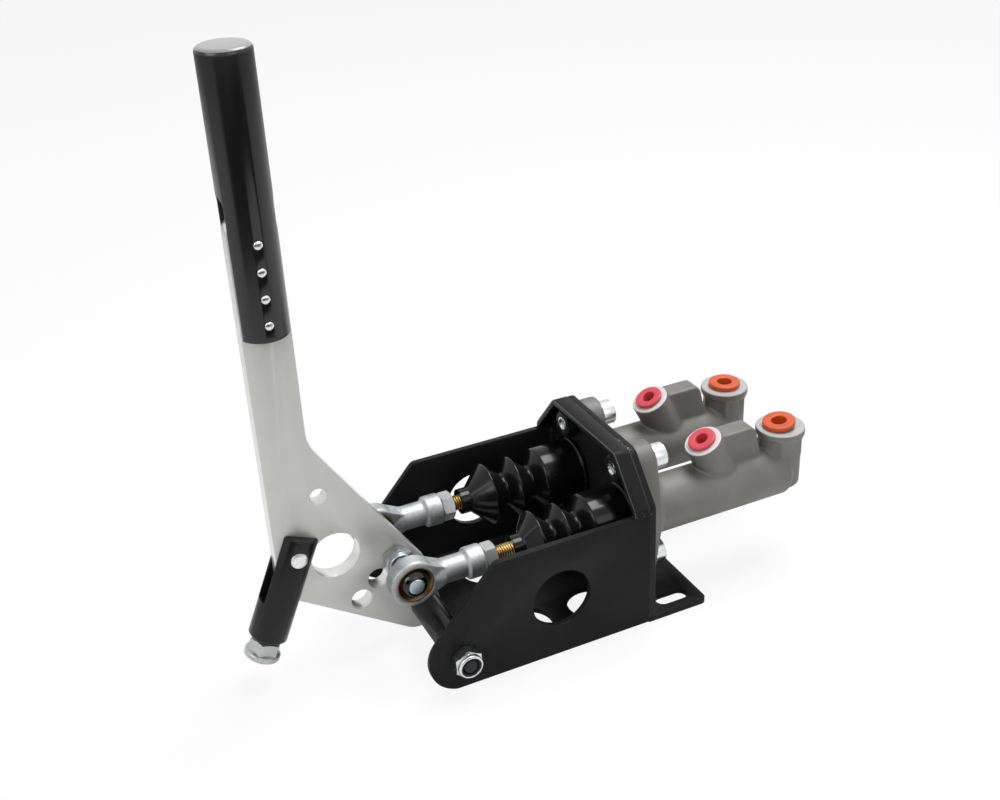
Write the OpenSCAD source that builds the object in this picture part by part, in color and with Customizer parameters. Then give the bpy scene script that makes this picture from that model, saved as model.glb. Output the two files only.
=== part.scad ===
// Hydraulic hand brake: an upright lever in a folded bracket pushes two master cylinders.
// X runs from the lever towards the cylinders, Y across the bracket and Z up, in millimetres.
// Inside the modules X is measured from the pivot axis. The finished part has its origin on the
// underside, at the centre of the four base slots.

/* [Bracket] */
// Overall width of the bracket
bracket_w = 104; // [96:1:120]
// Sheet thickness of the bracket
sheet_t = 3; // [2:0.5:4]
// Outer radius of the folds
fold_r = 4.5; // [4.2:0.1:7]
// Radius along the outer bottom edges
base_edge_r = 1; // [0.5:0.1:3]
// Height of the side walls
side_h = 65; // [62:1:75]
// Pivot axis to the top front corner of the side walls
side_front = 19; // [10:1:24]
// Height of the pivot axis above the underside
pivot_h = 17.6; // [16.5:0.1:21]
// Pivot axis to the front edge of the floor
floor_front = 13.6; // [13:0.1:20]
// Diameter of the side windows
window_d = 31; // [20:1:36]
// Pivot axis to the centre of the side windows
window_x = 52.4; // [45:0.1:60]
// Height of the side windows
window_z = 33; // [30:0.1:38]
// Diameter of the floor windows
floor_hole_d = 25; // [16:1:27]
// Pivot axis to the first pair of floor windows
floor_hole_x = 46; // [44:0.5:50]
// Spacing of the floor windows along the bracket
floor_hole_pitch = 36; // [28:0.5:38]
// Spacing of the floor windows across the bracket
floor_hole_span = 53; // [46:0.5:56]
// Length of the base behind the end plate
rear_flange = 31; // [28:0.5:40]
// Radius of the base corners
base_corner_r = 3; // [1:0.5:6]
// Width of the base slots
slot_w = 8.4; // [6.6:0.1:9]
// End to end length of the base slots
slot_l = 18; // [14:0.5:19]
// Spacing of the base slots along the bracket
slot_spacing_x = 89; // [86:1:91]
// Spacing of the base slots across the bracket
slot_spacing_y = 84.6; // [82:0.1:86]

/* [End plate] */
// Pivot axis to the front face of the end plate
plate_x = 101.2; // [98:0.1:110]
// Thickness of the end plate
plate_t = 3.4; // [3:0.1:5]
// Height of the end plate above its upper bolts
plate_h = 12.4; // [11:0.1:20]
// Width of the flat top of the end plate
plate_top_w = 64; // [58:1:72]
// Radius of the end plate's corners
plate_corner_r = 7; // [3:0.5:10]
// Straight rise of the end plate above the side walls
plate_rise = 2.8; // [1:0.1:6]
// Width of the strap over the end plate
strap_w = 8.4; // [6:0.1:12]

/* [Master cylinders] */
// Spacing of the two cylinders
cyl_pitch = 51.2; // [48:0.1:56]
// Height of the cylinder axes
cyl_z = 50; // [48:0.1:52]
// Outer diameter of the cylinder body
cyl_d = 29; // [27:0.5:32]
// Length of the cylinder body behind the end plate
cyl_l = 92.4; // [90:0.1:100]
// Chamfer at the closed end of the cylinder body
cyl_end_chamfer = 3; // [1:0.5:4]
// Bore of the cylinder
bore_d = 19.05; // [17.5:0.05:20]
// Thickness of the closed end of the bore
end_wall = 9; // [6:0.5:12]
// Thickness of the mounting flange
flange_t = 11.2; // [8:0.1:14]
// Radius of the mounting flange around its bolts
flange_ear_r = 10; // [8.5:0.1:11]
// Spacing of the flange bolts
flange_bolt_pitch = 57.15; // [54:0.05:60]
// Reach of the spigot in front of the end plate
spigot_reach = 6; // [5:0.1:8]
// Back of the end plate to the outlet, along the cylinder axis
outlet_back = 57.9; // [54:0.1:62]
// Lean of the outlet boss towards the lever
outlet_lean = 27; // [15:1:35]
// Diameter of the outlet boss
outlet_d = 20; // [16:0.5:22]
// Cylinder axis to the face of the outlet boss
outlet_reach = 32.6; // [28:0.1:36]
// Diameter of the outlet port
outlet_port_d = 10; // [8:0.1:12]
// Rear end of the cylinder body to the inlet axis
inlet_inset = 1.3; // [0:0.1:6]
// Diameter of the inlet pillar
inlet_d = 22.6; // [18:0.1:24]
// Cylinder axis to the face of the inlet
inlet_reach = 24.5; // [22:0.1:30]
// Diameter of the inlet collar
inlet_collar_d = 25.6; // [24:0.1:30]
// Thickness of the inlet collar
inlet_collar_t = 4; // [2:0.1:6]
// Diameter of the inlet port
inlet_port_d = 11.2; // [9:0.1:14]
// Depth of the ports
port_depth = 12; // [9:0.5:14]
// Width of the rib between outlet and inlet
rib_w = 11; // [6:0.5:14]
// Cylinder axis to the top of the rib
rib_reach = 31.5; // [22:0.5:32]
// Foot of the outlet axis to the top rear corner of the rib
rib_back = 13.8; // [8:0.1:15]
// Lean of the rib's rear end from upright
rib_lean = 13; // [5:1:20]

/* [Plugs] */
// Flange diameter of the outlet plugs
outlet_plug_d = 14.5; // [13:0.1:18]
// Flange diameter of the inlet plugs
inlet_plug_d = 17; // [15:0.1:22]
// Flange thickness of the plugs
plug_flange_t = 2.6; // [1.5:0.1:4]
// Length of the plugs inside their ports
plug_stem_l = 8; // [5:0.5:9]
// Wall thickness of the plug stems
plug_wall = 1.8; // [1.2:0.1:2.5]

/* [Pistons] */
// Thickness of the circlips
circlip_t = 1.2; // [1:0.1:1.6]
// Thickness of the retaining washers
washer_t = 1.5; // [1:0.1:2]
// Hole of the retaining washers
washer_hole_d = 10.6; // [10.4:0.1:11.4]
// Length of the pistons
piston_l = 34; // [30:0.5:38]
// Diameter of the push rod socket in the pistons
socket_d = 14.4; // [14.2:0.1:15]
// Depth of the push rod socket
socket_depth = 10.5; // [10:0.1:12]
// Width of the secondary seals
ring_seal_w = 3.4; // [2.5:0.1:4]
// Length of the primary cup seals
cup_seal_l = 5; // [4:0.1:6]
// Diameter of the piston nose
nose_d = 8; // [7:0.1:9]
// Wire diameter of the return springs
spring_wire_d = 1.6; // [1.2:0.1:2]
// Mean diameter of the return springs
spring_d = 13; // [12:0.1:14]
// Turns of the return springs
spring_turns = 8; // [6:1:9]

/* [Lever] */
// Thickness of the lever plate
lever_t = 8; // [6:0.5:10]
// Radius of the lever's lower end
lever_end_r = 11.8; // [11.4:0.1:12.4]
// Pivot axis to the middle of the lever's lower end, towards the grip
lever_end_lead = 3.6; // [3:0.1:4]
// Pivot axis down to the middle of the lever's lower end
lever_end_drop = 1.2; // [0.8:0.1:1.4]
// Pivot axis to the nose of the lever, away from the grip
nose_lead = 3.3; // [2:0.1:6]
// Height of the lever's nose above the pivot
nose_rise = 24.5; // [23:0.1:26]
// Radius of the lever's nose
nose_r = 5; // [3:0.5:8]
// Width of the lever arm
arm_w = 21.8; // [20:0.1:22]
// Pivot axis to the middle of the lever arm
arm_lead = 60.1; // [58:0.1:63]
// Reach of the arm inside the grip
arm_top = 53.4; // [44:0.1:60]
// Height of the arm's bend above the pivot
bend_rise = 106; // [100:1:112]
// Radius in the bend of the arm
bend_r = 22; // [8:1:26]
// Height of the heel corner above the pivot
heel_rise = 30; // [28:0.5:33]
// Radius of the heel corner
heel_r = 6; // [2:0.5:8]
// Radius of the arm's top corners
arm_corner_r = 6; // [2:0.5:9]
// Pivot axis to the link stud, towards the grip
link_lead = 13; // [11:0.1:15]
// Pitch of the row of link holes
link_pitch = 13.2; // [12.8:0.1:13.6]
// Slope of the row of link holes
link_slope = 44; // [43:0.5:46]
// Diameter of the two spare link holes
link_hole_d = 10.4; // [8:0.1:10.8]
// Diameter of the upper small hole
upper_d = 8.2; // [7.5:0.1:9.5]
// Chamfer of the spare holes
spare_chamfer = 0.4; // [0.2:0.1:1]
// Diameter of the large round hole in the lever
lightening_d = 24; // [18:0.5:25]
// Middle of the lever arm to the large round hole
lightening_lead = 17.8; // [17:0.1:19]
// Height of the large round hole above the pivot
lightening_rise = 43.6; // [43:0.1:45]
// Middle of the lever arm to the upper small hole
upper_lead = 13.1; // [10:0.1:15]
// Height of the upper small hole above the pivot
upper_rise = 77.7; // [76:0.1:82]

/* [Grip] */
// Diameter of the grip
grip_d = 23; // [22:0.5:28]
// Length of the grip
grip_l = 123; // [110:1:140]
// Height of the grip's lower end above the pivot
grip_rise = 162.4; // [156:0.1:166]
// Length of the slot in the grip
grip_slot_l = 63.5; // [62:0.5:75]
// Rounding of the grip's ends
grip_round = 2.5; // [1:0.1:4]
// Diameter of the grip rivets
rivet_d = 4; // [3.6:0.1:5]
// Spacing of the grip rivets
rivet_pitch = 12; // [10:0.5:13]
// Lower end of the grip to the first rivet
rivet_first = 8; // [6:0.5:9]
// Number of grip rivets
rivet_count = 4; // [3:1:4]

/* [Rest stop] */
// Diameter of the stop tube
stop_d = 19; // [17.5:0.5:22]
// Length of the stop tube
stop_l = 56.2; // [54:0.1:60]
// Lean of the stop tube from upright
stop_lean = 23.2; // [21:0.1:25]
// Middle of the lever arm to the top of the stop tube
stop_lead = 2.9; // [1:0.1:4]
// Height of the stop tube's top above the pivot
stop_rise = 59.1; // [58:0.1:61]
// Depth of the slot in the stop tube
stop_slot_l = 36.5; // [36:0.5:38]
// Diameter of the stop pin
stop_pin_d = 8; // [6:0.5:9]
// Top of the stop tube to the stop pin
stop_pin_drop = 10; // [9:0.1:12]
// Thread diameter of the stop screw
stop_screw_d = 8; // [7:0.5:10]
// Width across flats of the stop screw head
stop_head_af = 14; // [12:0.5:15]
// Height of the stop screw head
stop_head_h = 6.3; // [5:0.1:9]
// Diameter of the stop screw foot
stop_foot_d = 17.6; // [17.4:0.1:20]
// Thickness of the stop screw foot
stop_foot_t = 3.2; // [2:0.1:4]
// Gap between the stop tube and the screw head at rest
stop_gap = 1.5; // [1.3:0.1:3]

/* [Rod ends and push rods] */
// Thread diameter of the bolts, the stud and the push rods
thread_d = 8; // [7:0.5:8]
// Width across flats of the nuts
nut_af = 13; // [12.5:0.1:13.5]
// Height of the plain nuts
nut_h = 6.5; // [5:0.1:7]
// Height of the round crown on the locking nuts
crown_h = 2; // [1.5:0.1:3]
// Head diameter of the cap screws
cap_d = 13; // [12.5:0.1:14]
// Head height of the cap screws
cap_h = 8; // [6:0.5:9]
// Length of the cap screws under the head
cap_screw_l = 20; // [18.5:0.5:20.5]
// Height of the pivot bolt head
bolt_head_h = 5.3; // [4:0.1:7]
// Outer diameter of the pivot sleeves
sleeve_d = 15; // [13.5:0.5:18]
// Outer diameter of the pivot bush
bush_d = 10; // [9.5:0.1:11]
// Head diameter of the rod ends
rod_head_d = 24; // [23:0.5:26]
// Head width of the rod ends
rod_head_w = 9; // [8:0.1:10]
// Outer diameter of the rod end races
race_d = 19; // [18:0.1:20]
// Width of the rod end races
race_w = 8; // [7:0.1:9]
// Diameter of the rod end balls
ball_d = 15.6; // [15:0.1:16]
// Width of the rod end balls
ball_w = 12; // [11:0.1:12]
// Link stud to the end of the rod end
rod_end_l = 36; // [36:0.5:40]
// Shank diameter of the rod ends
shank_d = 12.6; // [11.5:0.1:14]
// Collar diameter of the rod ends
collar_d = 16; // [14.5:0.1:17]
// Collar length of the rod ends
collar_l = 9; // [6:0.5:12]
// Thread length inside the rod ends
rod_grip_l = 20; // [12:0.5:22]
// Diameter of the push rod heads
rod_tip_d = 11.8; // [11.5:0.1:12]
// Length of the push rod heads
rod_tip_l = 7; // [5:0.5:7.5]

/* [Boots] */
// Pivot axis to the neck of the boots
boot_front = 34; // [34:0.5:40]
// Outer diameter of the boot necks
boot_neck_d = 12.4; // [12:0.1:14]
// Length of the boot necks
boot_neck_l = 5; // [3:0.5:7]
// Outer diameter of the folds
boot_ridge_d = 33; // [30:0.5:34]
// Outer diameter between the folds
boot_valley_d = 16; // [15:0.5:20]
// Spacing of the folds
boot_fold_pitch = 15.8; // [14:0.1:16.5]
// Length of the barrel in front of the end plate
boot_barrel_l = 20; // [16:0.5:21]
// Wall thickness of the boots, measured across the axis
boot_wall = 2; // [1.6:0.1:2.1]
// Outward step of the boot bead
boot_bead = 0.9; // [0.4:0.1:1.5]
// Length of the boot bead
boot_bead_l = 2.5; // [1.5:0.1:4]

/* [Clearances] */
// Radial clearance of running fits
running = 0.05; // [0.02:0.01:0.1]
// Radial clearance of bolts in their holes
bolt_clearance = 0.3; // [0.1:0.05:0.5]
// Radial clearance of located and threaded parts
located = 0.1; // [0.05:0.01:0.2]
// Clearance of the lever plate in its slots and between the sleeves
side_play = 0.15; // [0.1:0.01:0.3]
// Clearance between the pistons, the push rods and what stops them
end_play = 0.3; // [0.2:0.05:0.5]

/* [Hidden] */
$fn = 64;

LEFT = 1;
RIGHT = -1;
OVER = 1;
ARC_STEPS = 8;
EDGE = 0.6;
half_w = bracket_w / 2;
wall_in = half_w - sheet_t;
ear_r = pivot_h;
plate_back = plate_x + plate_t;
base_rear = plate_back + rear_flange;
slot_rear_x = plate_back + rear_flange / 2;
origin_x = slot_rear_x - slot_spacing_x / 2;
strap_x = plate_x - strap_w;
shoulder_z = side_h + plate_rise;
plate_top_z = cyl_z + flange_bolt_pitch / 2 + plate_h;
plate_top_half = plate_top_w / 2;

spigot_front = plate_x - spigot_reach;
spigot_r = cyl_d / 2;
cyl_rear = plate_back + cyl_l;
bore_end = cyl_rear - end_wall;
flange_back = plate_back + flange_t;
outlet_x = plate_back + outlet_back;
inlet_x = cyl_rear - inlet_inset;
drill_d = 4;
pillar_drop = 8;
circlip_groove = 1;
circlip_w = 2;
circlip_x = spigot_front + circlip_t;
washer_x = circlip_x + circlip_t;
piston_x = washer_x + washer_t + end_play;
piston_d = bore_d - 2 * running;
socket_end = piston_x + socket_depth;
seal_groove = 2.4;
seal_groove_d = piston_d - 2 * seal_groove;
land_l = 3;
seal_groove_x = socket_end + land_l;
waist_x = seal_groove_x + ring_seal_w + land_l;
piston_end = piston_x + piston_l;
cup_end = piston_end + cup_seal_l;
cup_lip = 2;
guide_t = 1;
nose_end = cup_end + guide_t + OVER;
spring_x = cup_end + guide_t;

lever_half = lever_t / 2;
link_rise = cyl_z - pivot_h;
arm_front = -arm_lead - arm_w / 2;
arm_back = -arm_lead + arm_w / 2;
lock_nut_h = nut_h + crown_h;
crown_d = nut_af - EDGE;
insert_d = crown_d - 2 * OVER;
bush_half = lever_half + side_play;
hex_socket_af = 6;
stud_half = cyl_pitch / 2 + ball_w / 2 + EDGE;
rod_neck = 3;
rod_tip_x = socket_end - end_play;
rod_l = rod_tip_x + link_lead;
boot_spigot_d = cyl_d + 2 * end_play + 2 * boot_wall;
fold_share = 0.62;

function unit(v) = v / norm(v);

// Arc of radius r that rounds the corner b between the points a and c
function corner_arc(a, b, c, r) =
    let (
        u = unit(a - b),
        v = unit(c - b),
        half = acos(u * v) / 2,
        mid = b + unit(u + v) * r / sin(half),
        from = b + u * r / tan(half) - mid,
        to = b + v * r / tan(half) - mid,
        start = atan2(from[1], from[0]),
        turn = atan2(to[1], to[0]) - start,
        sweep = turn > 180 ? turn - 360 : turn < -180 ? turn + 360 : turn
    )
    [for (i = [0 : ARC_STEPS])
        let (a = start + sweep * i / ARC_STEPS) mid + r * [cos(a), sin(a)]];

// Outline through the points [u, v, corner radius]
function rounded(points) =
    let (n = len(points), at = [for (p = points) [p[0], p[1]]])
    [for (i = [0 : n - 1])
        each points[i][2] > 0
            ? corner_arc(at[(i + n - 1) % n], at[i], at[(i + 1) % n], points[i][2])
            : [at[i]]];

// Point where a line from p touches a circle of radius r around the origin
function touch(p, r, side) =
    let (a = atan2(p[1], p[0]) + side * acos(r / norm(p))) r * [cos(a), sin(a)];

// Puts the pivot's frame into the part's frame
module seat() translate([-origin_x, 0, 0]) children();

// Turn a child's +Z towards +X or +Y
module along_x(x, y = 0, z = 0) translate([x, y, z]) rotate([0, 90, 0]) children();
module along_y(x, y, z) translate([x, y, z]) rotate([-90, 0, 0]) children();

// Extrude an outline in X and Z along Y, or an outline in Y and Z along X
module xz_plate(y, t) translate([0, y + t, 0]) rotate([90, 0, 0]) linear_extrude(t) children();
module yz_plate(x, t) translate([x, 0, 0]) rotate([90, 0, 90]) linear_extrude(t) children();

module on_cylinder(side) translate([0, side * cyl_pitch / 2, cyl_z]) children();
module at_link() translate([-link_lead, 0, pivot_h + link_rise]) children();
module at_rod(side) at_link() translate([0, side * cyl_pitch / 2, 0]) children();
module at_flange_bolts() {
    for (side = [LEFT, RIGHT], up = [-1, 1])
        translate([0, side * cyl_pitch / 2, cyl_z + up * flange_bolt_pitch / 2]) children();
}

module tube(d, bore, h) difference() {
    cylinder(d = d, h = h);
    translate([0, 0, -OVER]) cylinder(d = bore, h = h + 2 * OVER);
}

// Round bar with chamfered ends
module bar(d, l, chamfer) rotate_extrude() polygon([
    [0, 0], [d / 2 - chamfer, 0], [d / 2, chamfer],
    [d / 2, l - chamfer], [d / 2 - chamfer, l], [0, l]
]);

module hex(af, h) cylinder(d = af / cos(30), h = h, $fn = 6);

module plain_nut() difference() {
    hex(nut_af, nut_h);
    translate([0, 0, -OVER]) cylinder(d = thread_d + 2 * located, h = nut_h + 2 * OVER);
}

// Locking nut: a hexagon with a round crown that holds a nylon ring
module lock_nut() difference() {
    union() {
        hex(nut_af, nut_h);
        cylinder(d = crown_d, h = lock_nut_h);
    }
    translate([0, 0, -OVER]) cylinder(d = thread_d + 2 * located, h = lock_nut_h + 2 * OVER);
    translate([0, 0, nut_h]) cylinder(d = insert_d, h = lock_nut_h);
}
module lock_insert() translate([0, 0, nut_h])
    tube(insert_d - 2 * located, thread_d + 2 * located, crown_h - EDGE);

module side_outline() {
    corner = [side_front, side_h - pivot_h];
    ear = touch(corner, ear_r, 1);
    translate([0, pivot_h]) circle(r = ear_r);
    polygon(rounded([
        [0, 0, 0], [plate_x, 0, 0], [plate_x, side_h, 0], [side_front, side_h, fold_r],
        [ear[0], ear[1] + pivot_h, 0], [0, pivot_h, 0]
    ]));
}

module channel_section() polygon(rounded([
    [-half_w, 0, base_edge_r], [half_w, 0, base_edge_r], [half_w, side_h, 0], [wall_in, side_h, 0],
    [wall_in, sheet_t, fold_r - sheet_t], [-wall_in, sheet_t, fold_r - sheet_t],
    [-wall_in, side_h, 0], [-half_w, side_h, 0]
]));

module base_slot() {
    for (end = [-1, 1])
        translate([end * (slot_l - slot_w) / 2, 0, -OVER])
            cylinder(d = slot_w, h = sheet_t + 2 * OVER);
    translate([-(slot_l - slot_w) / 2, -slot_w / 2, -OVER])
        cube([slot_l - slot_w, slot_w, sheet_t + 2 * OVER]);
}

module base_channel() color("#1c1c1d") seat() difference() {
    union() {
        intersection() {
            yz_plate(-ear_r, plate_x + ear_r) channel_section();
            xz_plate(-half_w, bracket_w) side_outline();
        }
        linear_extrude(sheet_t) polygon(rounded([
            [plate_x, -half_w, 0], [base_rear, -half_w, base_corner_r],
            [base_rear, half_w, base_corner_r], [plate_x, half_w, 0]
        ]));
    }
    translate([-ear_r - OVER, -wall_in, -OVER])
        cube([ear_r + OVER + floor_front, 2 * wall_in, side_h]);
    along_y(0, -half_w - OVER, pivot_h)
        cylinder(d = thread_d + 2 * bolt_clearance, h = bracket_w + 2 * OVER);
    along_y(window_x, -half_w - OVER, window_z)
        cylinder(d = window_d, h = bracket_w + 2 * OVER);
    for (i = [0, 1], side = [LEFT, RIGHT])
        translate([floor_hole_x + i * floor_hole_pitch, side * floor_hole_span / 2, -OVER])
            cylinder(d = floor_hole_d, h = sheet_t + 2 * OVER);
    for (back = [0, 1], side = [LEFT, RIGHT])
        translate([slot_rear_x - back * slot_spacing_x, side * slot_spacing_y / 2, 0]) base_slot();
}

// Outline of the end plate, drawn in by a distance on all but its lower edge
function plate_outline(inset, low, r) =
    let (
        lean = atan2(half_w - plate_top_half, plate_top_z - shoulder_z),
        side = half_w - inset,
        shoulder = shoulder_z - inset * tan(lean / 2),
        top = plate_top_half - inset * tan((90 - lean) / 2)
    )
    rounded([
        [-side, low, 0], [side, low, 0], [side, shoulder, r], [top, plate_top_z - inset, r],
        [-top, plate_top_z - inset, r], [-side, shoulder, r]
    ]);

module end_plate() color("#1c1c1d") seat() difference() {
    yz_plate(plate_x, plate_t) polygon(plate_outline(0, sheet_t, plate_corner_r));
    for (side = [LEFT, RIGHT])
        on_cylinder(side) along_x(plate_x - OVER)
            cylinder(r = spigot_r + located, h = plate_t + 2 * OVER);
    at_flange_bolts() along_x(plate_x - OVER)
        cylinder(d = thread_d + 2 * bolt_clearance, h = plate_t + 2 * OVER);
}

module end_strap() color("#1c1c1d") seat() yz_plate(strap_x, strap_w) difference() {
    polygon(plate_outline(0, side_h, fold_r));
    polygon(plate_outline(sheet_t, side_h - OVER, fold_r - sheet_t));
}

module weld_nuts() color("#1c1c1d") seat() at_flange_bolts() along_x(plate_x - nut_h) plain_nut();

module flange_outline() {
    waist_r = spigot_r + OVER;
    ear = flange_bolt_pitch / 2;
    a = acos((waist_r - flange_ear_r) / ear);
    circle(r = waist_r);
    for (up = [-1, 1]) {
        translate([0, up * ear]) circle(r = flange_ear_r);
        polygon([
            [-waist_r * sin(a), up * waist_r * cos(a)],
            [waist_r * sin(a), up * waist_r * cos(a)],
            [flange_ear_r * sin(a), up * (ear + flange_ear_r * cos(a))],
            [-flange_ear_r * sin(a), up * (ear + flange_ear_r * cos(a))]
        ]);
    }
}

module at_outlet() translate([outlet_x, 0, 0]) rotate([0, -outlet_lean, 0]) children();

// Web between the outlet boss and the inlet pillar
module port_rib() {
    rib_rear = outlet_x + rib_back;
    below_face = (rib_reach * cos(outlet_lean) - outlet_reach) / sin(outlet_lean) + 2 * EDGE;
    rib_front = outlet_x + max(below_face, -rib_reach * tan(outlet_lean));
    xz_plate(-rib_w / 2, rib_w) polygon(rounded([
        [outlet_x, 0, 0], [rib_front, rib_reach, 0],
        [rib_rear, rib_reach, fold_r], [rib_rear + rib_reach * tan(rib_lean), 0, 0]
    ]));
}

module master_cylinder(side) color("#7c7c78") seat() on_cylinder(side) difference() {
    union() {
        along_x(0) rotate_extrude() polygon([
            [0, spigot_front], [spigot_r - OVER, spigot_front], [spigot_r, spigot_front + OVER],
            [spigot_r, cyl_rear - cyl_end_chamfer], [spigot_r - cyl_end_chamfer, cyl_rear],
            [0, cyl_rear]
        ]);
        yz_plate(plate_back, flange_t) flange_outline();
        at_outlet() cylinder(d = outlet_d, h = outlet_reach);
        port_rib();
        translate([inlet_x, 0, -pillar_drop]) cylinder(d = inlet_d, h = pillar_drop + inlet_reach);
        translate([inlet_x, 0, inlet_reach - inlet_collar_t])
            cylinder(d = inlet_collar_d, h = inlet_collar_t);
    }
    along_x(spigot_front - OVER) cylinder(d = bore_d, h = bore_end - spigot_front + OVER);
    along_x(circlip_x) cylinder(d = bore_d + 2 * circlip_groove, h = circlip_t);
    for (up = [-1, 1])
        along_x(plate_back - OVER, 0, up * flange_bolt_pitch / 2)
            cylinder(d = thread_d + 2 * bolt_clearance, h = flange_t + 2 * OVER);
    at_outlet() translate([0, 0, outlet_reach - port_depth])
        cylinder(d = outlet_port_d, h = port_depth + OVER);
    at_outlet() cylinder(d = drill_d, h = outlet_reach);
    translate([inlet_x, 0, inlet_reach - port_depth])
        cylinder(d = inlet_port_d, h = port_depth + OVER);
    translate([inlet_x, 0, -drill_d / 2]) cylinder(d = drill_d, h = inlet_reach);
    along_x(bore_end - OVER) cylinder(d = drill_d, h = inlet_x - bore_end + OVER);
}
module master_cylinder_left() master_cylinder(LEFT);
module master_cylinder_right() master_cylinder(RIGHT);

module cylinder_bolts() color("#d5d8d8") seat() at_flange_bolts() difference() {
    union() {
        along_x(flange_back - cap_screw_l) bar(thread_d, cap_screw_l + OVER, EDGE);
        along_x(flange_back) bar(cap_d, cap_h, EDGE);
    }
    along_x(flange_back + cap_h / 2) hex(hex_socket_af, cap_h);
}

// Transit plug: a flange with a hollow stem
module port_plug(flange_d, stem_d) difference() {
    union() {
        bar(flange_d, plug_flange_t, EDGE / 2);
        translate([0, 0, -plug_stem_l]) cylinder(d = stem_d, h = plug_stem_l + OVER);
    }
    translate([0, 0, -plug_stem_l + plug_wall])
        cylinder(d = stem_d - 2 * plug_wall, h = plug_stem_l + plug_flange_t);
}
module outlet_plug(side) color("#dc4f58") seat() on_cylinder(side) at_outlet()
    translate([0, 0, outlet_reach]) port_plug(outlet_plug_d, outlet_port_d - 2 * located);
module outlet_plug_left() outlet_plug(LEFT);
module outlet_plug_right() outlet_plug(RIGHT);
module inlet_plug(side) color("#f96f2e") seat() on_cylinder(side)
    translate([inlet_x, 0, inlet_reach]) port_plug(inlet_plug_d, inlet_port_d - 2 * located);
module inlet_plug_left() inlet_plug(LEFT);
module inlet_plug_right() inlet_plug(RIGHT);

module circlip(side) color("#8d9092") seat() on_cylinder(side) difference() {
    groove_d = bore_d + 2 * circlip_groove - 2 * located;
    along_x(circlip_x) tube(groove_d, bore_d - 2 * circlip_w, circlip_t);
    translate([circlip_x - OVER, -OVER, -bore_d]) cube([circlip_t + 2 * OVER, 2 * OVER, bore_d]);
}
module circlip_left() circlip(LEFT);
module circlip_right() circlip(RIGHT);

module retaining_washer(side) color("#b9bcbe") seat() on_cylinder(side)
    along_x(washer_x) tube(bore_d - 2 * located, washer_hole_d, washer_t);
module retaining_washer_left() retaining_washer(LEFT);
module retaining_washer_right() retaining_washer(RIGHT);

// Wire swept along a helix about the X axis
module coil(x, l) {
    sides = 8;
    per_turn = 16;
    steps = spring_turns * per_turn;
    pitch_l = l - spring_wire_d;
    points = [for (i = [0 : steps], j = [0 : sides - 1])
        let (
            turn = 360 * i / per_turn,
            around = 360 * j / sides,
            r = (spring_d + spring_wire_d * cos(around)) / 2
        )
        [
            x + spring_wire_d / 2 * (1 + sin(around)) + pitch_l * i / steps,
            r * cos(turn),
            r * sin(turn)
        ]];
    walls = [for (i = [0 : steps - 1], j = [0 : sides - 1])
        let (a = i * sides + j, b = i * sides + (j + 1) % sides) [a, b, b + sides, a + sides]];
    start = [for (j = [sides - 1 : -1 : 0]) j];
    finish = [for (j = [0 : sides - 1]) steps * sides + j];
    polyhedron(points, concat(walls, [start, finish]));
}
module return_spring(side) color("#9ea1a3") seat() on_cylinder(side)
    coil(spring_x, bore_end - spring_x);
module return_spring_left() return_spring(LEFT);
module return_spring_right() return_spring(RIGHT);

// Radius and place of the boot's outer wall, from the neck to the bead
function boot_profile() =
    let (
        neck = boot_neck_d / 2,
        ridge = boot_ridge_d / 2,
        valley = boot_valley_d / 2,
        barrel = boot_spigot_d / 2,
        last = plate_x - boot_barrel_l,
        first = last - 2 * boot_fold_pitch,
        dip = fold_share * boot_fold_pitch
    )
    [
        [neck, boot_front], [neck, boot_front + boot_neck_l],
        [ridge, first], [valley, first + dip],
        [ridge, first + boot_fold_pitch], [valley, first + boot_fold_pitch + dip],
        [ridge, last], [barrel, last + boot_bead_l], [barrel, plate_x - boot_bead_l],
        [barrel + boot_bead, plate_x - boot_bead_l], [barrel + boot_bead, plate_x]
    ];

module boot(side) color("#141414") seat() on_cylinder(side) along_x(0) rotate_extrude() {
    outer = boot_profile();
    n = len(outer);
    barrel_in = boot_spigot_d / 2 - boot_wall;
    inner = concat(
        [[barrel_in, plate_x]],
        [for (i = [n - 4 : -1 : 0]) [outer[i][0] - boot_wall, outer[i][1]]]
    );
    polygon(concat(outer, inner));
}
module boot_left() boot(LEFT);
module boot_right() boot(RIGHT);

module pivot_bolt() color("#2b2c2e") seat() {
    along_y(0, -half_w - lock_nut_h + EDGE, pivot_h)
        bar(thread_d, bracket_w + lock_nut_h, EDGE);
    along_y(0, half_w, pivot_h) hex(nut_af, bolt_head_h);
}
module at_pivot_nut() translate([0, -half_w, pivot_h]) rotate([90, 0, 0]) children();
module pivot_nut() color("#d5d8d8") seat() at_pivot_nut() lock_nut();
module pivot_nut_insert() color("#22242c") seat() at_pivot_nut() lock_insert();

module pivot_sleeve(side) color("#1a1a1b") seat()
    along_y(0, side > 0 ? bush_half : -wall_in, pivot_h)
        tube(sleeve_d, thread_d + 2 * located, wall_in - bush_half);
module pivot_sleeve_left() pivot_sleeve(LEFT);
module pivot_sleeve_right() pivot_sleeve(RIGHT);
module pivot_bush() color("#b08d57") seat() along_y(0, -bush_half, pivot_h)
    tube(bush_d, thread_d + 2 * located, 2 * bush_half);

module lever_outline() {
    bend = [arm_back, bend_rise];
    heel = [arm_front, heel_rise];
    nose = [nose_lead, nose_rise];
    end = [-lever_end_lead, -lever_end_drop];
    top = grip_rise + arm_top;
    upper = end + touch(nose - end, lever_end_r, -1);
    lower = end + touch(heel - end, lever_end_r, 1);
    translate(end) circle(r = lever_end_r);
    polygon(rounded([
        [end[0], end[1], 0], [upper[0], upper[1], 0], [nose[0], nose[1], nose_r],
        [bend[0], bend[1], bend_r],
        [arm_back, top, arm_corner_r], [arm_front, top, arm_corner_r],
        [heel[0], heel[1], heel_r], [lower[0], lower[1], 0]
    ]));
}

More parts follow.
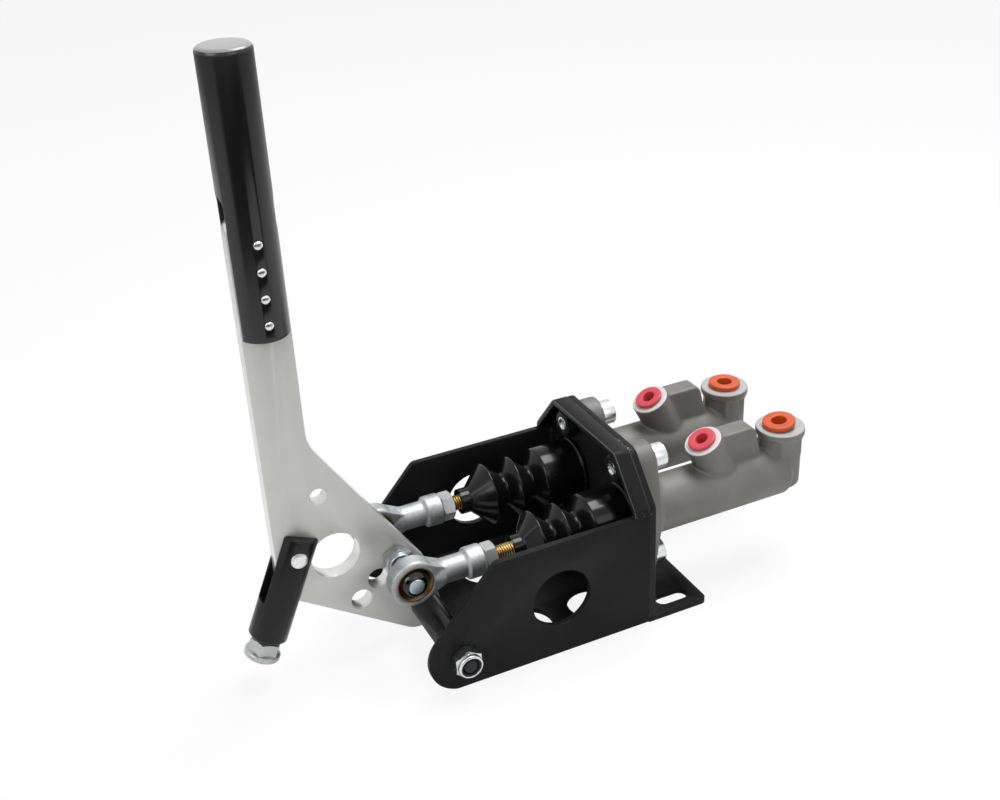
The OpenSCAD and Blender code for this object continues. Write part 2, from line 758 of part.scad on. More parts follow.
// Drilled hole through the lever with a chamfer on both faces
module lever_hole(u, v, d) along_y(u, -lever_half, pivot_h + v) {
    wide_d = d + 2 * spare_chamfer;
    translate([0, 0, -OVER]) cylinder(d = d, h = lever_t + 2 * OVER);
    translate([0, 0, -spare_chamfer])
        cylinder(d1 = wide_d + 2 * spare_chamfer, d2 = d, h = 2 * spare_chamfer);
    translate([0, 0, lever_t - spare_chamfer])
        cylinder(d1 = d, d2 = wide_d + 2 * spare_chamfer, h = 2 * spare_chamfer);
}

module through_lever(u, v, d) along_y(u, -lever_half - OVER, pivot_h + v)
    cylinder(d = d, h = lever_t + 2 * OVER);

module lever_plate() color("#bbbcb7") seat() difference() {
    translate([0, 0, pivot_h]) xz_plate(-lever_half, lever_t) lever_outline();
    through_lever(0, 0, bush_d + 2 * running);
    through_lever(-link_lead, link_rise, thread_d + 2 * located);
    for (i = [1, 2])
        lever_hole(-link_lead - i * link_pitch * cos(link_slope),
            link_rise - i * link_pitch * sin(link_slope), link_hole_d);
    lever_hole(upper_lead - arm_lead, upper_rise, upper_d);
    through_lever(lightening_lead - arm_lead, lightening_rise, lightening_d);
    at_rivets(lever_t) cylinder(d = rivet_d + 2 * located, h = lever_t + 2 * OVER);
    at_stop() at_stop_pin(lever_t) cylinder(d = stop_pin_d + 2 * located, h = lever_t + 2 * OVER);
}

// Rivet axes, starting outside a piece of the given width
module at_rivets(w) {
    for (i = [0 : rivet_count - 1])
        along_y(-arm_lead, -w / 2 - OVER, pivot_h + grip_rise + rivet_first + i * rivet_pitch)
            children();
}

module grip() color("#17181a") seat() difference() {
    slot_half = lever_half + side_play;
    slot_end = grip_slot_l - slot_half;
    grip_z = pivot_h + grip_rise;
    translate([-arm_lead, 0, grip_z]) rotate_extrude() polygon(concat(
        [[0, 0]],
        [for (i = [0 : ARC_STEPS]) let (a = 90 * i / ARC_STEPS)
            [grip_d / 2 - grip_round * (1 - sin(a)) / 2, grip_round * (1 - cos(a)) / 2]],
        [for (i = [0 : ARC_STEPS]) let (a = 90 * i / ARC_STEPS)
            [grip_d / 2 - grip_round * (1 - cos(a)), grip_l - grip_round * (1 - sin(a))]],
        [[0, grip_l]]
    ));
    translate([-arm_lead - grip_d, -slot_half, grip_z - OVER])
        cube([2 * grip_d, 2 * slot_half, slot_end + OVER]);
    along_x(-arm_lead - grip_d, 0, grip_z + slot_end) cylinder(r = slot_half, h = 2 * grip_d);
    at_rivets(grip_d) cylinder(d = rivet_d + 2 * located, h = grip_d + 2 * OVER);
}

// Rivet with a low dome on both ends
module dome_pin(d, l, dome) rotate_extrude() polygon([
    [0, -dome], [d / 4, -0.8 * dome], [d / 2, 0], [d / 2, l], [d / 4, l + 0.8 * dome], [0, l + dome]
]);
module grip_rivets() color("#d8dadb") seat() at_rivets(grip_d)
    translate([0, 0, OVER]) dome_pin(rivet_d, grip_d, EDGE);

// Frame of the rest stop: +Z runs down the tube from its top
module at_stop() translate([stop_lead - arm_lead, 0, pivot_h + stop_rise])
    rotate([0, 180 + stop_lean, 0]) children();
module at_stop_pin(w) along_y(0, -w / 2 - OVER, stop_pin_drop) children();

module stop_tube() color("#1b1c1e") seat() at_stop() difference() {
    slot_half = lever_half + side_play;
    bar(stop_d, stop_l, OVER);
    translate([-stop_d, -slot_half, -OVER]) cube([2 * stop_d, 2 * slot_half, stop_slot_l + OVER]);
    translate([0, 0, stop_slot_l - OVER])
        cylinder(d = stop_screw_d + 2 * running, h = stop_l - stop_slot_l + 2 * OVER);
    at_stop_pin(stop_d) cylinder(d = stop_pin_d + 2 * located, h = stop_d + 2 * OVER);
}
module stop_pin() color("#d8dadb") seat() at_stop() at_stop_pin(stop_d)
    translate([0, 0, OVER]) dome_pin(stop_pin_d, stop_d, EDGE);

module stop_screw() color("#cfd2d2") seat() at_stop() {
    head_z = stop_l + stop_gap;
    translate([0, 0, stop_slot_l + stop_gap])
        bar(stop_screw_d, head_z - stop_slot_l, EDGE);
    translate([0, 0, head_z]) hex(stop_head_af, stop_head_h);
    translate([0, 0, head_z + stop_head_h - EDGE]) bar(stop_foot_d, stop_foot_t + EDGE, EDGE);
}

module link_stud() color("#a8b4ba") seat() at_link()
    along_y(0, -stud_half, 0) bar(thread_d, 2 * stud_half, EDGE);
module at_stud_nuts() at_link() for (side = [LEFT, RIGHT])
    translate([0, side * lever_half, 0]) rotate([side * -90, 0, 0]) children();
module stud_nuts() color("#d5d8d8") seat() at_stud_nuts() lock_nut();
module stud_nut_inserts() color("#22242c") seat() at_stud_nuts() lock_insert();

// Points [radius, height] on a sphere of radius r, between two heights of the same size
function sphere_band(r, half) =
    let (a = asin(half / r), n = 3 * ARC_STEPS)
    [for (i = [-n : n]) r * [cos(a * i / n), sin(a * i / n)]];

module rod_end_ball(side) color("#3a3c40") seat() at_rod(side) along_y(0, 0, 0) rotate_extrude()
    polygon(concat(
        [[thread_d / 2 + located, -ball_w / 2]],
        sphere_band(ball_d / 2, ball_w / 2),
        [[thread_d / 2 + located, ball_w / 2]]
    ));
module rod_end_ball_left() rod_end_ball(LEFT);
module rod_end_ball_right() rod_end_ball(RIGHT);

// Housing of a rod end: a ring on a round shank with a collar
module rod_end(side) color("#c9cbc9") seat() at_rod(side) difference() {
    collar_x = rod_end_l - collar_l;
    neck_x = rod_head_d / 2 + rod_neck;
    union() {
        along_y(0, -rod_head_w / 2, 0) bar(rod_head_d, rod_head_w, OVER);
        along_x(0) rotate_extrude() polygon([
            [0, race_d / 2], [rod_head_w / 2, race_d / 2], [shank_d / 2, neck_x],
            [shank_d / 2, collar_x - EDGE], [collar_d / 2, collar_x + EDGE],
            [collar_d / 2, rod_end_l - EDGE], [collar_d / 2 - EDGE, rod_end_l], [0, rod_end_l]
        ]);
    }
    along_y(0, -rod_head_d, 0) cylinder(d = race_d, h = 2 * rod_head_d);
    along_x(rod_end_l - rod_grip_l - OVER)
        cylinder(d = thread_d + 2 * located, h = rod_grip_l + 2 * OVER);
}
module rod_end_left() rod_end(LEFT);
module rod_end_right() rod_end(RIGHT);

module rod_end_race(side) color("#8a6f43") seat() at_rod(side) along_y(0, 0, 0) rotate_extrude()
    polygon(concat(
        [[race_d / 2 - running, race_w / 2], [race_d / 2 - running, -race_w / 2]],
        sphere_band(ball_d / 2 + running, race_w / 2)
    ));
module rod_end_race_left() rod_end_race(LEFT);
module rod_end_race_right() rod_end_race(RIGHT);

module jam_nut(side) color("#c9c3b8") seat() at_rod(side) along_x(rod_end_l) plain_nut();
module jam_nut_left() jam_nut(LEFT);
module jam_nut_right() jam_nut(RIGHT);

module pushrod(side) color("#c0903c") seat() at_rod(side) {
    rod_x = rod_end_l - rod_grip_l;
    along_x(rod_x) bar(thread_d, rod_l - rod_tip_l - rod_x + OVER, EDGE);
    along_x(rod_l - rod_tip_l) cylinder(d = rod_tip_d, h = rod_tip_l / 2);
    along_x(rod_l - rod_tip_l / 2)
        cylinder(d1 = rod_tip_d, d2 = rod_tip_d / 2, h = rod_tip_l / 2);
}
module pushrod_left() pushrod(LEFT);
module pushrod_right() pushrod(RIGHT);

module piston(side) color("#b5a067") seat() on_cylinder(side) difference() {
    r = piston_d / 2;
    groove_r = seal_groove_d / 2;
    groove_end = seal_groove_x + ring_seal_w;
    along_x(0) rotate_extrude() polygon([
        [0, piston_x], [r, piston_x], [r, seal_groove_x], [groove_r, seal_groove_x],
        [groove_r, groove_end], [r, groove_end], [r, waist_x], [groove_r, waist_x],
        [groove_r, piston_end - land_l], [r, piston_end - land_l], [r, piston_end],
        [nose_d / 2, piston_end], [nose_d / 2, nose_end], [0, nose_end]
    ]);
    along_x(piston_x - OVER) cylinder(d = socket_d, h = socket_depth + OVER);
}
module piston_left() piston(LEFT);
module piston_right() piston(RIGHT);

// Cup seal: a ring on the nose with a lip that opens towards the fluid
module primary_seal(side) color("#1d1d1d") seat() on_cylinder(side) along_x(0) rotate_extrude() {
    r = piston_d / 2;
    nose_r = nose_d / 2 + located;
    polygon([
        [nose_r, piston_end], [r, piston_end], [r, cup_end], [r - EDGE, cup_end],
        [r - cup_lip, piston_end + cup_seal_l / 2], [nose_r + cup_lip, piston_end + cup_seal_l / 2],
        [nose_r + cup_lip, cup_end], [nose_r, cup_end]
    ]);
}
module primary_seal_left() primary_seal(LEFT);
module primary_seal_right() primary_seal(RIGHT);

module secondary_seal(side) color("#1d1d1d") seat() on_cylinder(side)
    along_x(seal_groove_x + located)
        tube(piston_d, seal_groove_d + 2 * located, ring_seal_w - 2 * located);
module secondary_seal_left() secondary_seal(LEFT);
module secondary_seal_right() secondary_seal(RIGHT);

module spring_guide(side) color("#a9acae") seat() on_cylinder(side) along_x(cup_end)
    tube(spring_d + 2 * spring_wire_d, nose_d + 2 * located, guide_t);
module spring_guide_left() spring_guide(LEFT);
module spring_guide_right() spring_guide(RIGHT);

base_channel();
end_plate();
end_strap();
weld_nuts();
master_cylinder_left();
master_cylinder_right();
cylinder_bolts();
outlet_plug_left();
outlet_plug_right();
inlet_plug_left();
inlet_plug_right();
circlip_left();
circlip_right();
retaining_washer_left();
retaining_washer_right();
return_spring_left();
return_spring_right();
boot_left();
boot_right();
pivot_bolt();
pivot_nut();
pivot_nut_insert();
pivot_sleeve_left();
pivot_sleeve_right();
pivot_bush();
lever_plate();
grip();
grip_rivets();
stop_tube();
stop_pin();
stop_screw();
link_stud();
stud_nuts();
stud_nut_inserts();
rod_end_ball_left();
rod_end_ball_right();
rod_end_left();
rod_end_right();
rod_end_race_left();
rod_end_race_right();
jam_nut_left();
jam_nut_right();
pushrod_left();
pushrod_right();
piston_left();
piston_right();
primary_seal_left();
primary_seal_right();
secondary_seal_left();
secondary_seal_right();
spring_guide_left();
spring_guide_right();
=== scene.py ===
# %% [markdown]
# # A hydraulic hand brake
# A flat aluminium lever with a black grip turns in a folded steel bracket and pushes two cast
# master cylinders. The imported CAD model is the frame: every piece below is worked out in its
# coordinates, in millimetres, and rides on one of its bodies.

# %% Load the frame
import math

import bmesh
import bpy
import numpy as np
from mathutils import Matrix, Vector


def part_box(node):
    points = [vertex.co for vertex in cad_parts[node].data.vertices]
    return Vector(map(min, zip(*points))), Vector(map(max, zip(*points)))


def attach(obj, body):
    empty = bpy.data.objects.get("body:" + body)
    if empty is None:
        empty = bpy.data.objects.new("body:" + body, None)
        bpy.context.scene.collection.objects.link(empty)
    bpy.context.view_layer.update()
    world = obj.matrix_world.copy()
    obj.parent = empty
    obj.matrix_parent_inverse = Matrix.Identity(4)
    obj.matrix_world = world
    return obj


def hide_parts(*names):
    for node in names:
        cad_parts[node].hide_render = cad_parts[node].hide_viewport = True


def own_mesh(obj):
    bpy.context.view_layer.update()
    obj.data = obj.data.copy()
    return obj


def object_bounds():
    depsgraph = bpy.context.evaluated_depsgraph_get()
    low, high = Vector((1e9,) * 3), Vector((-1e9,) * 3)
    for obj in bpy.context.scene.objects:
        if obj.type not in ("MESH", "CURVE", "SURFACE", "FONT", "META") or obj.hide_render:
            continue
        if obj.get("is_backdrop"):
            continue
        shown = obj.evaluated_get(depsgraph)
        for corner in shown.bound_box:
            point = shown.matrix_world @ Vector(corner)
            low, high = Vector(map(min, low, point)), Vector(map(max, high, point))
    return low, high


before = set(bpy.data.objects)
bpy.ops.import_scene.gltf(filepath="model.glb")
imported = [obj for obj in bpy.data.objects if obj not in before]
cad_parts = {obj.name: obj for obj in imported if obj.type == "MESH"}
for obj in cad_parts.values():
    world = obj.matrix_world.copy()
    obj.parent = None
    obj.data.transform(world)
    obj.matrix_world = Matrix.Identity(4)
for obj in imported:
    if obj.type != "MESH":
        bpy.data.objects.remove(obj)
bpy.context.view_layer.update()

MM = 0.001

# %% [markdown]
# ## Where things are
# The solids already say where the pivot, the link stud and the cylinder axes lie, so the pieces
# take their places from the nodes' boxes instead of from copied numbers.

# %% Places


def span(node):
    """Lowest and highest corner of a CAD node, in millimetres."""
    low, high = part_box(node)
    return np.array(low) / MM, np.array(high) / MM


def middle(node):
    """Centre of a CAD node's box, in millimetres."""
    return sum(span(node)) / 2


def half(node):
    """Half the size of a CAD node's box along each axis, in millimetres."""
    low, high = span(node)
    return (high - low) / 2


SIDES = {"left": 1.0, "right": -1.0}
PIVOT = middle("pivot_bush")
LINK = middle("stud_nuts")
CYLINDER = {side: middle("boot_" + side) for side in SIDES}
AXIS = {side: CYLINDER[side] * (0, 1, 1) for side in SIDES}
PLATE_FRONT, PLATE_BACK = span("end_plate")[0][0], span("end_plate")[1][0]
PLATE_TOP = span("end_plate")[1][2]
STRAP_FRONT = span("end_strap")[0][0]
WALL_TOP = span("base_channel")[1][2]
HALF_W = span("base_channel")[1][1]
LEVER_HALF = span("lever_plate")[1][1]
GRIP_MID = middle("grip")
X, Y, Z = np.eye(3)
print("pivot", PIVOT.round(1), "link", LINK.round(1), "cylinder", CYLINDER["left"].round(1))

# %% [markdown]
# ## Sums with shader sockets
# Procedural finishes are arithmetic on textures. Wrapping a socket in a small class lets that
# arithmetic be written as Python: `1 - mask` adds a Math node, and any other node comes from the
# one method `node`.

# %% Shader arithmetic


class Wire:
    """A node's output. Operators on it add Math nodes, and node() adds any other node."""

    def __init__(self, tree, socket):
        self.tree, self.socket = tree, socket

    def node(self, kind, settings, sockets, out=0):
        """Adds a node: settings first, with a ramp's stops among them, then values or links."""
        made = self.tree.nodes.new(kind)
        for key, value in settings.items():
            if key == "stops":
                ramp = made.color_ramp
                for place, _ in value[2:]:
                    ramp.elements.new(place)
                for element, (place, shade) in zip(ramp.elements, value):
                    element.position = place
                    element.color = (shade, shade, shade, 1)
            else:
                setattr(made, key, value)
        for key, value in sockets.items():
            if isinstance(value, Wire):
                self.tree.links.new(value.socket, made.inputs[key])
            else:
                made.inputs[key].default_value = value
        return Wire(self.tree, made.outputs[out])

    def maths(self, operation, *values):
        return self.node("ShaderNodeMath", {"operation": operation}, dict(enumerate(values)))

    def __add__(self, other):
        return self.maths("ADD", self, other)

    def __sub__(self, other):
        return self.maths("SUBTRACT", self, other)

    def __rsub__(self, other):
        return self.maths("SUBTRACT", other, self)

    def __mul__(self, other):
        return self.maths("MULTIPLY", self, other)

    __radd__ = __add__
    __rmul__ = __mul__

    def noise(self, scale, detail=2.0, rough=0.5):
        """Noise on this vector, with features about 1/scale metres across."""
        sockets = {"Vector": self, "Scale": scale, "Detail": detail, "Roughness": rough}
        return self.node("ShaderNodeTexNoise", {}, sockets, "Fac")

    def stretched(self, x, y, z):
        """This vector with its axes scaled, which draws a pattern out along the small ones."""
        return self.node("ShaderNodeMapping", {}, {"Vector": self, "Scale": (x, y, z)})

    def steps(self, *stops):
        """This value through a ramp with (place, shade) stops."""
        return self.node("ShaderNodeValToRGB", {"stops": stops}, {"Fac": self})

    def between(self, low, high):
        """1 between two numbers and 0 outside, with a soft edge of a tenth of a millimetre."""
        soft = 0.1 * MM
        rising = {"Value": self, 1: low - soft, 2: low + soft}
        falling = {"Value": self, 1: high - soft, 2: high + soft}
        rise = self.node("ShaderNodeMapRange", {}, rising)
        fall = self.node("ShaderNodeMapRange", {}, falling)
        return rise - fall

    def blend(self, first, second):
        """Colour between two tones, given without alpha."""
        return self.mixed((*first, 1), (*second, 1))

    def mixed(self, first, second):
        """Colour from one wire or colour to another as this value goes from 0 to 1."""
        sockets = {"Factor": self, 6: first, 7: second}
        return self.node("ShaderNodeMix", {"data_type": "RGBA"}, sockets, 2)

    def bump(self, strength, depth):
        """Normal from this value as a height of depth millimetres."""
        sockets = {"Height": self, "Strength": strength, "Distance": depth * MM}
        return self.node("ShaderNodeBump", {}, sockets)

    def axis(self, name):
        """One coordinate of this vector."""
        return self.node("ShaderNodeSeparateXYZ", {}, {"Vector": self}, name)


def finish(name, constants, varying):
    """New material: constants go onto the shader's own sockets, and varying(place) gives wires."""
    material = bpy.data.materials.new(name)
    material.use_nodes = True
    tree = material.node_tree
    shader = tree.nodes["Principled BSDF"]
    for key, value in constants.items():
        shader.inputs[key].default_value = value
    place = Wire(tree, tree.nodes.new("ShaderNodeTexCoord").outputs["Object"])
    for key, wire in varying(place).items():
        tree.links.new(wire.socket, shader.inputs[key])
    print("finish", name, "with", len(tree.nodes), "nodes")
    return material


# %% [markdown]
# ## Powder coat
# The bracket is folded steel with a satin black powder coat. Powder flows out before it cures, so
# it has a slight orange peel and patches of more and less sheen. It is knocked off in specks along
# the seam at the top of the end plate, where bare steel shows.

# %% Powder coat finish
CHIP_RUN = (-36.0, -12.0)
BARE_STEEL = (0.42, 0.42, 0.43, 1)
COAT_DARK, COAT_LIGHT = (0.0110, 0.0110, 0.0115), (0.0145, 0.0145, 0.0150)
CORNER_OUT, CORNER_FROM, RUBBED_AND_LIT = (0.793, 0.610), 32.0, 1.5


def powder_coat(place):
    """Black with orange peel, and specks of bare steel along the plate's top seam."""
    peel = place.noise(900, 3)
    cloud = place.noise(35, 3)
    along, across, up = (place.axis(name) for name in "XYZ")
    seam = along.between((PLATE_FRONT - 0.9) * MM, (PLATE_FRONT + 0.8) * MM)
    top = up.between((PLATE_TOP - 2.0) * MM, (PLATE_TOP + 1) * MM)
    run = across.between(CHIP_RUN[0] * MM, CHIP_RUN[1] * MM)
    specks = place.noise(1500, 3, 0.6).steps((0.60, 0), (0.64, 1))
    chips = seam * top * run * specks
    black = cloud.steps((0.3, 0), (0.7, 1)).blend(COAT_DARK, COAT_LIGHT)
    return {
        "Base Color": chips.mixed(black, BARE_STEEL),
        "Metallic": chips,
        "Roughness": 0.34 + 0.12 * cloud,
        "Normal": (peel - 0.4 * chips).bump(0.10, 0.25),
    }


def worn_and_highlit_coat(place):
    """The same black on edges, lighter near the outline: wear and a painted highlight.

    How far a point lies outside is the most of its distances past the side, the top and the
    sloping corner.
    """
    cloud = place.noise(160, 3)
    side, up = place.axis("Y"), place.axis("Z") - PLATE_TOP * MM
    side = side.maths("ABSOLUTE", side)
    slope = CORNER_OUT[0] * (side - CORNER_FROM * MM) + CORNER_OUT[1] * up
    outside = slope.maths("MAXIMUM", slope, side - HALF_W * MM)
    outer = outside.maths("MAXIMUM", outside, up).between(-RUBBED_AND_LIT * MM, 0.1)
    # Outer edges lighter: wear, and a painted highlight along the outline.
    wear_and_highlight = outer * cloud.steps((0.3, 0.2), (0.7, 1))
    return {
        "Base Color": wear_and_highlight.blend((0.007,) * 3, (0.050, 0.050, 0.052)),
        "Roughness": 0.36 - 0.12 * outer + 0.1 * cloud,
    }


coat = finish("powder_coat", {"Specular IOR Level": 0.09}, powder_coat)
lit_coat_edge = finish("powder_coat_edge", {"Specular IOR Level": 0.6}, worn_and_highlit_coat)

# %% [markdown]
# ## Aluminium
# The lever is cut from rolled plate and tumbled, which leaves a fine even grain with a faint
# direction along the arm. The cylinders are sand cast and blasted: matt, with a coarser grain.
# Where a port face is turned the metal is brighter, with a fine tool mark.

# %% Aluminium finishes


def rolled_plate(place):
    """Satin plate: an even fine grain, slightly drawn out along Z, and broad faint clouds."""
    grain = place.stretched(1, 1, 0.35).noise(2600, 3, 0.6)
    cloud = place.noise(22, 2)
    tone = (0.4 * grain + 0.6 * cloud).steps((0.2, 0), (0.8, 1))
    return {
        "Base Color": tone.blend((0.60, 0.603, 0.580), (0.655, 0.658, 0.634)),
        "Roughness": 0.50 + 0.10 * grain,
        "Normal": grain.bump(0.05, 0.04),
    }


def milled_edge(place):
    """Cut edges and holes: brighter than the face, with fine lines across the thickness."""
    lines = place.stretched(1, 0.05, 1).noise(1900, 2)
    return {
        "Base Color": lines.blend((0.70, 0.70, 0.69), (0.82, 0.82, 0.81)),
        "Roughness": 0.26 + 0.14 * lines,
        "Normal": lines.bump(0.06, 0.04),
    }


def blasted_casting(place):
    """Cast skin: sand grain of about half a millimetre and soft uneven patches."""
    sand = place.noise(1500, 4, 0.65)
    lumps = place.noise(260, 3)
    patch = place.noise(45, 3)
    tone = (0.35 * sand + 0.65 * patch).steps((0.3, 0), (0.7, 1))
    return {
        "Base Color": tone.blend((0.132, 0.130, 0.120), (0.204, 0.201, 0.188)),
        "Roughness": 0.5 + 0.16 * sand,
        "Normal": (sand + 0.8 * lumps).bump(0.5, 0.2),
    }


def turned_face(dark, light):
    """Machined port face between two tones, with a fine uneven tool mark."""

    def varying(place):
        mark = place.noise(2600, 2)
        return {
            "Base Color": mark.blend(dark, light),
            "Roughness": 0.36 + 0.12 * mark,
            "Normal": mark.bump(0.05, 0.05),
        }

    return varying


LIT_TOP_DEPTH = 1.0


def black_anodise(place):
    """Turned bar dyed black with fine rings round it; the grip's top end is a painted highlight."""
    rings = place.stretched(0.02, 0.02, 1).noise(2400, 2)
    cloud = place.noise(26, 2)
    # The top end's grey is a painted highlight for the light from above.
    end = place.axis("Z").between((span("grip")[1][2] - LIT_TOP_DEPTH) * MM, 1.0)
    return {
        "Base Color": end.mixed(
            cloud.blend((0.0050, 0.0052, 0.0058), (0.0085, 0.0088, 0.0095)),
            cloud.blend((0.24, 0.24, 0.245), (0.31, 0.31, 0.315)),
        ),
        "Roughness": 0.18 + 0.05 * rings + 0.05 * cloud,
        "Normal": rings.bump(0.02, 0.03),
    }


def gold_anodise(place):
    """Piston dye over a turned surface."""
    rings = place.stretched(1, 0.02, 0.02).noise(2400, 2)
    return {
        "Base Color": rings.blend((0.40, 0.31, 0.11), (0.50, 0.40, 0.17)),
        "Roughness": 0.28 + 0.1 * rings,
    }


plate = finish("rolled_plate", {"Metallic": 0.6}, rolled_plate)
cut_edge = finish("milled_edge", {"Metallic": 0.8}, milled_edge)
casting = finish("blasted_casting", {"Metallic": 0.35}, blasted_casting)
FACED = {"Metallic": 0.12}
# One turned finish in two tones: the outlet's lighter copy is a painted highlight, the inlet's
# darker one painted shade.
lit_face_tones = turned_face((0.62, 0.60, 0.60), (0.72, 0.70, 0.70))
shaded_face_tones = turned_face((0.40, 0.395, 0.39), (0.48, 0.475, 0.47))
outlet_turned_lit = finish("outlet_turned_lit", FACED, lit_face_tones)
inlet_turned_shaded = finish("inlet_turned_shaded", FACED, shaded_face_tones)
anodised = finish("black_anodise", {"Specular IOR Level": 0.5}, black_anodise)
tube_black = finish("tube_black", {"Specular IOR Level": 0.26}, black_anodise)
piston_dye = finish("gold_anodise", {"Metallic": 1.0}, gold_anodise)

# %% [markdown]
# ## Plated steel
# Nuts, screws and rod ends are zinc plated: bright, slightly blue, and a little uneven because the
# steel under the plating is drawn or forged. The push rods are passivated yellow. One function
# makes them all from two tones, so they stay one family.

# %% Steel finishes


def plated(dark, light, rough, scale=900, relief=0.03):
    """Plating between two tones, with a roughness that wanders and a grain in relief."""

    def varying(place):
        grain = place.noise(scale, 3, 0.6)
        stain = place.noise(130, 3)
        return {
            "Base Color": (0.4 * grain + 0.6 * stain).steps((0.3, 0), (0.7, 1)).blend(dark, light),
            "Roughness": rough + 0.08 * stain,
            "Normal": grain.bump(relief, 0.04),
        }

    return varying


METAL = {"Metallic": 1.0}
zinc = finish("bright_zinc", METAL, plated((0.60, 0.62, 0.63), (0.74, 0.76, 0.76), 0.2))
dull = plated((0.40, 0.42, 0.41), (0.54, 0.56, 0.55), 0.26)
dull_zinc = finish("dull_zinc", {"Metallic": 0.75}, dull)
scaled = plated((0.27, 0.28, 0.285), (0.50, 0.515, 0.525), 0.50, scale=620, relief=0.35)
forged = finish("rod_end_zinc", METAL, scaled)
# The stud nuts' zinc is a darker copy of the bright zinc: painted shade.
shaded_nut_zinc = finish("stud_nut_zinc", METAL, plated((0.34, 0.36, 0.37), (0.48, 0.50, 0.51), 0.28))
stud_zinc = finish("stud_zinc", METAL, plated((0.36, 0.44, 0.48), (0.48, 0.56, 0.60), 0.3))


ROOT_R, CREST_R = 3.35, 3.9
# The grooves' brown is painted shade.
GROOVE_SHADE = (0.16, 0.085, 0.02, 1)


def yellow_passivate(place):
    """Yellow zinc on a thread round the rod's axis: pale crests, brown painted shade in grooves."""
    across = place.axis("Y").maths("ABSOLUTE", place.axis("Y")) - CYLINDER["left"][1] * MM
    up = place.axis("Z") - CYLINDER["left"][2] * MM
    square = across * across + up * up
    out = square.maths("SQRT", square)
    crest = out.node("ShaderNodeMapRange", {}, {"Value": out, 1: ROOT_R * MM, 2: CREST_R * MM})
    stain = place.noise(90, 2)
    pale = stain.blend((0.60, 0.44, 0.17), (0.78, 0.62, 0.30))
    return {
        "Base Color": crest.mixed(GROOVE_SHADE, pale),
        "Roughness": 0.34 - 0.1 * crest + 0.06 * stain,
    }


yellow = finish("yellow_zinc", METAL, yellow_passivate)
# The ball's chrome is painted near black: painted shade.
shaded_chrome = finish("ball_chrome", METAL, plated((0.035, 0.035, 0.036), (0.055, 0.055, 0.056), 0.06))
bronze = finish("race_bronze", METAL, plated((0.20, 0.135, 0.065), (0.36, 0.27, 0.15), 0.34))
rivet_metal = finish("rivet_aluminium", METAL, plated((0.66, 0.66, 0.65), (0.80, 0.80, 0.79), 0.24))
spring_steel = finish("spring_steel", METAL, plated((0.30, 0.31, 0.32), (0.42, 0.43, 0.44), 0.3))
oxide = plated((0.006, 0.006, 0.009), (0.010, 0.010, 0.015), 0.3)
black_steel = finish("black_oxide", {"Specular IOR Level": 0.3}, oxide)

# %% [markdown]
# ## Rubber and plastic
# The boots are moulded in shiny black rubber, the nuts hold a dark nylon ring, and the ports are
# closed with soft red and orange transit plugs. Plugs are injection moulded, so they are evenly
# coloured with a slightly dull, flowed skin.

# %% Rubber and plastic finishes


def moulded(dark, light, rough):
    """Moulded skin between two tones, with a faint flow pattern."""

    def varying(place):
        flow = place.noise(70, 3)
        skin = place.noise(1300, 2)
        return {
            "Base Color": flow.steps((0.25, 0), (0.75, 1)).blend(dark, light),
            "Roughness": rough + 0.1 * flow,
            "Normal": (skin + flow).bump(0.08, 0.06),
        }

    return varying


boot_skin = moulded((0.0036,) * 3, (0.0052,) * 3, 0.11)
rubber = finish("boot_rubber", {"Specular IOR Level": 0.25}, boot_skin)
seal_rubber = finish("seal_rubber", {}, moulded((0.008,) * 3, (0.012,) * 3, 0.4))
dark_nylon = moulded((0.006, 0.008, 0.018), (0.010, 0.013, 0.026), 0.4)
nylon = finish("nut_nylon", {"Specular IOR Level": 0.3}, dark_nylon)
red = finish(
    "outlet_red",
    {"Subsurface Weight": 0.12, "Subsurface Radius": (0.002, 0.0006, 0.0006)},
    moulded((0.56, 0.052, 0.075), (0.64, 0.075, 0.10), 0.34),
)
orange = finish(
    "inlet_orange",
    {"Subsurface Weight": 0.12, "Subsurface Radius": (0.002, 0.0008, 0.0004)},
    moulded((0.53, 0.062, 0.008), (0.61, 0.086, 0.016), 0.34),
)

# %% [markdown]
# ## Surfaces from arrays
# Most of these pieces are turned, so one function spins rows of radius and height about an axis.
# A row may also be part hexagon, and may have a cap on its radius: the lesser of hexagon and cone
# is just what a chamfering tool leaves on a nut.

# %% Spinning rows into a surface
ROUND = np.inf


def rows_of(points, hexagon=0.0):
    """Rows [radius, height, share of hexagon, cap] from points [radius, height], with no cap."""
    points = np.atleast_2d(np.asarray(points, float))
    extra = np.full(len(points), 1.0)
    return np.column_stack([points, extra * hexagon, extra * ROUND])


def hexagon_factor(turn):
    """Distance to a hexagon's edge over its inner radius: 1 / cos of the angle from the flat."""
    sixth = np.pi / 3
    return 1 / np.cos((turn + sixth / 2) % sixth - sixth / 2)


def placed(points, origin, axis, up=(0.0, 0.0, 1.0)):
    """Local x, y, z carried to a frame whose z is axis and whose x is up, made square to it."""
    w = np.asarray(axis, float) / np.linalg.norm(axis)
    u = np.asarray(up, float) - np.dot(up, w) * w
    u = u / np.linalg.norm(u)
    return np.asarray(origin) + points @ np.stack([u, np.cross(w, u), w])


def grid_faces(rows, columns, closed_rows):
    """Quads between neighbours in a grid whose columns close on themselves."""
    i = np.arange(rows if closed_rows else rows - 1)[:, None]
    j = np.arange(columns)[None, :]
    k = (j + 1) % columns
    n = (i + 1) % rows
    corners = [i * columns + j, i * columns + k, n * columns + k, n * columns + j]
    return np.stack(np.broadcast_arrays(*corners), -1).reshape(-1, 4)


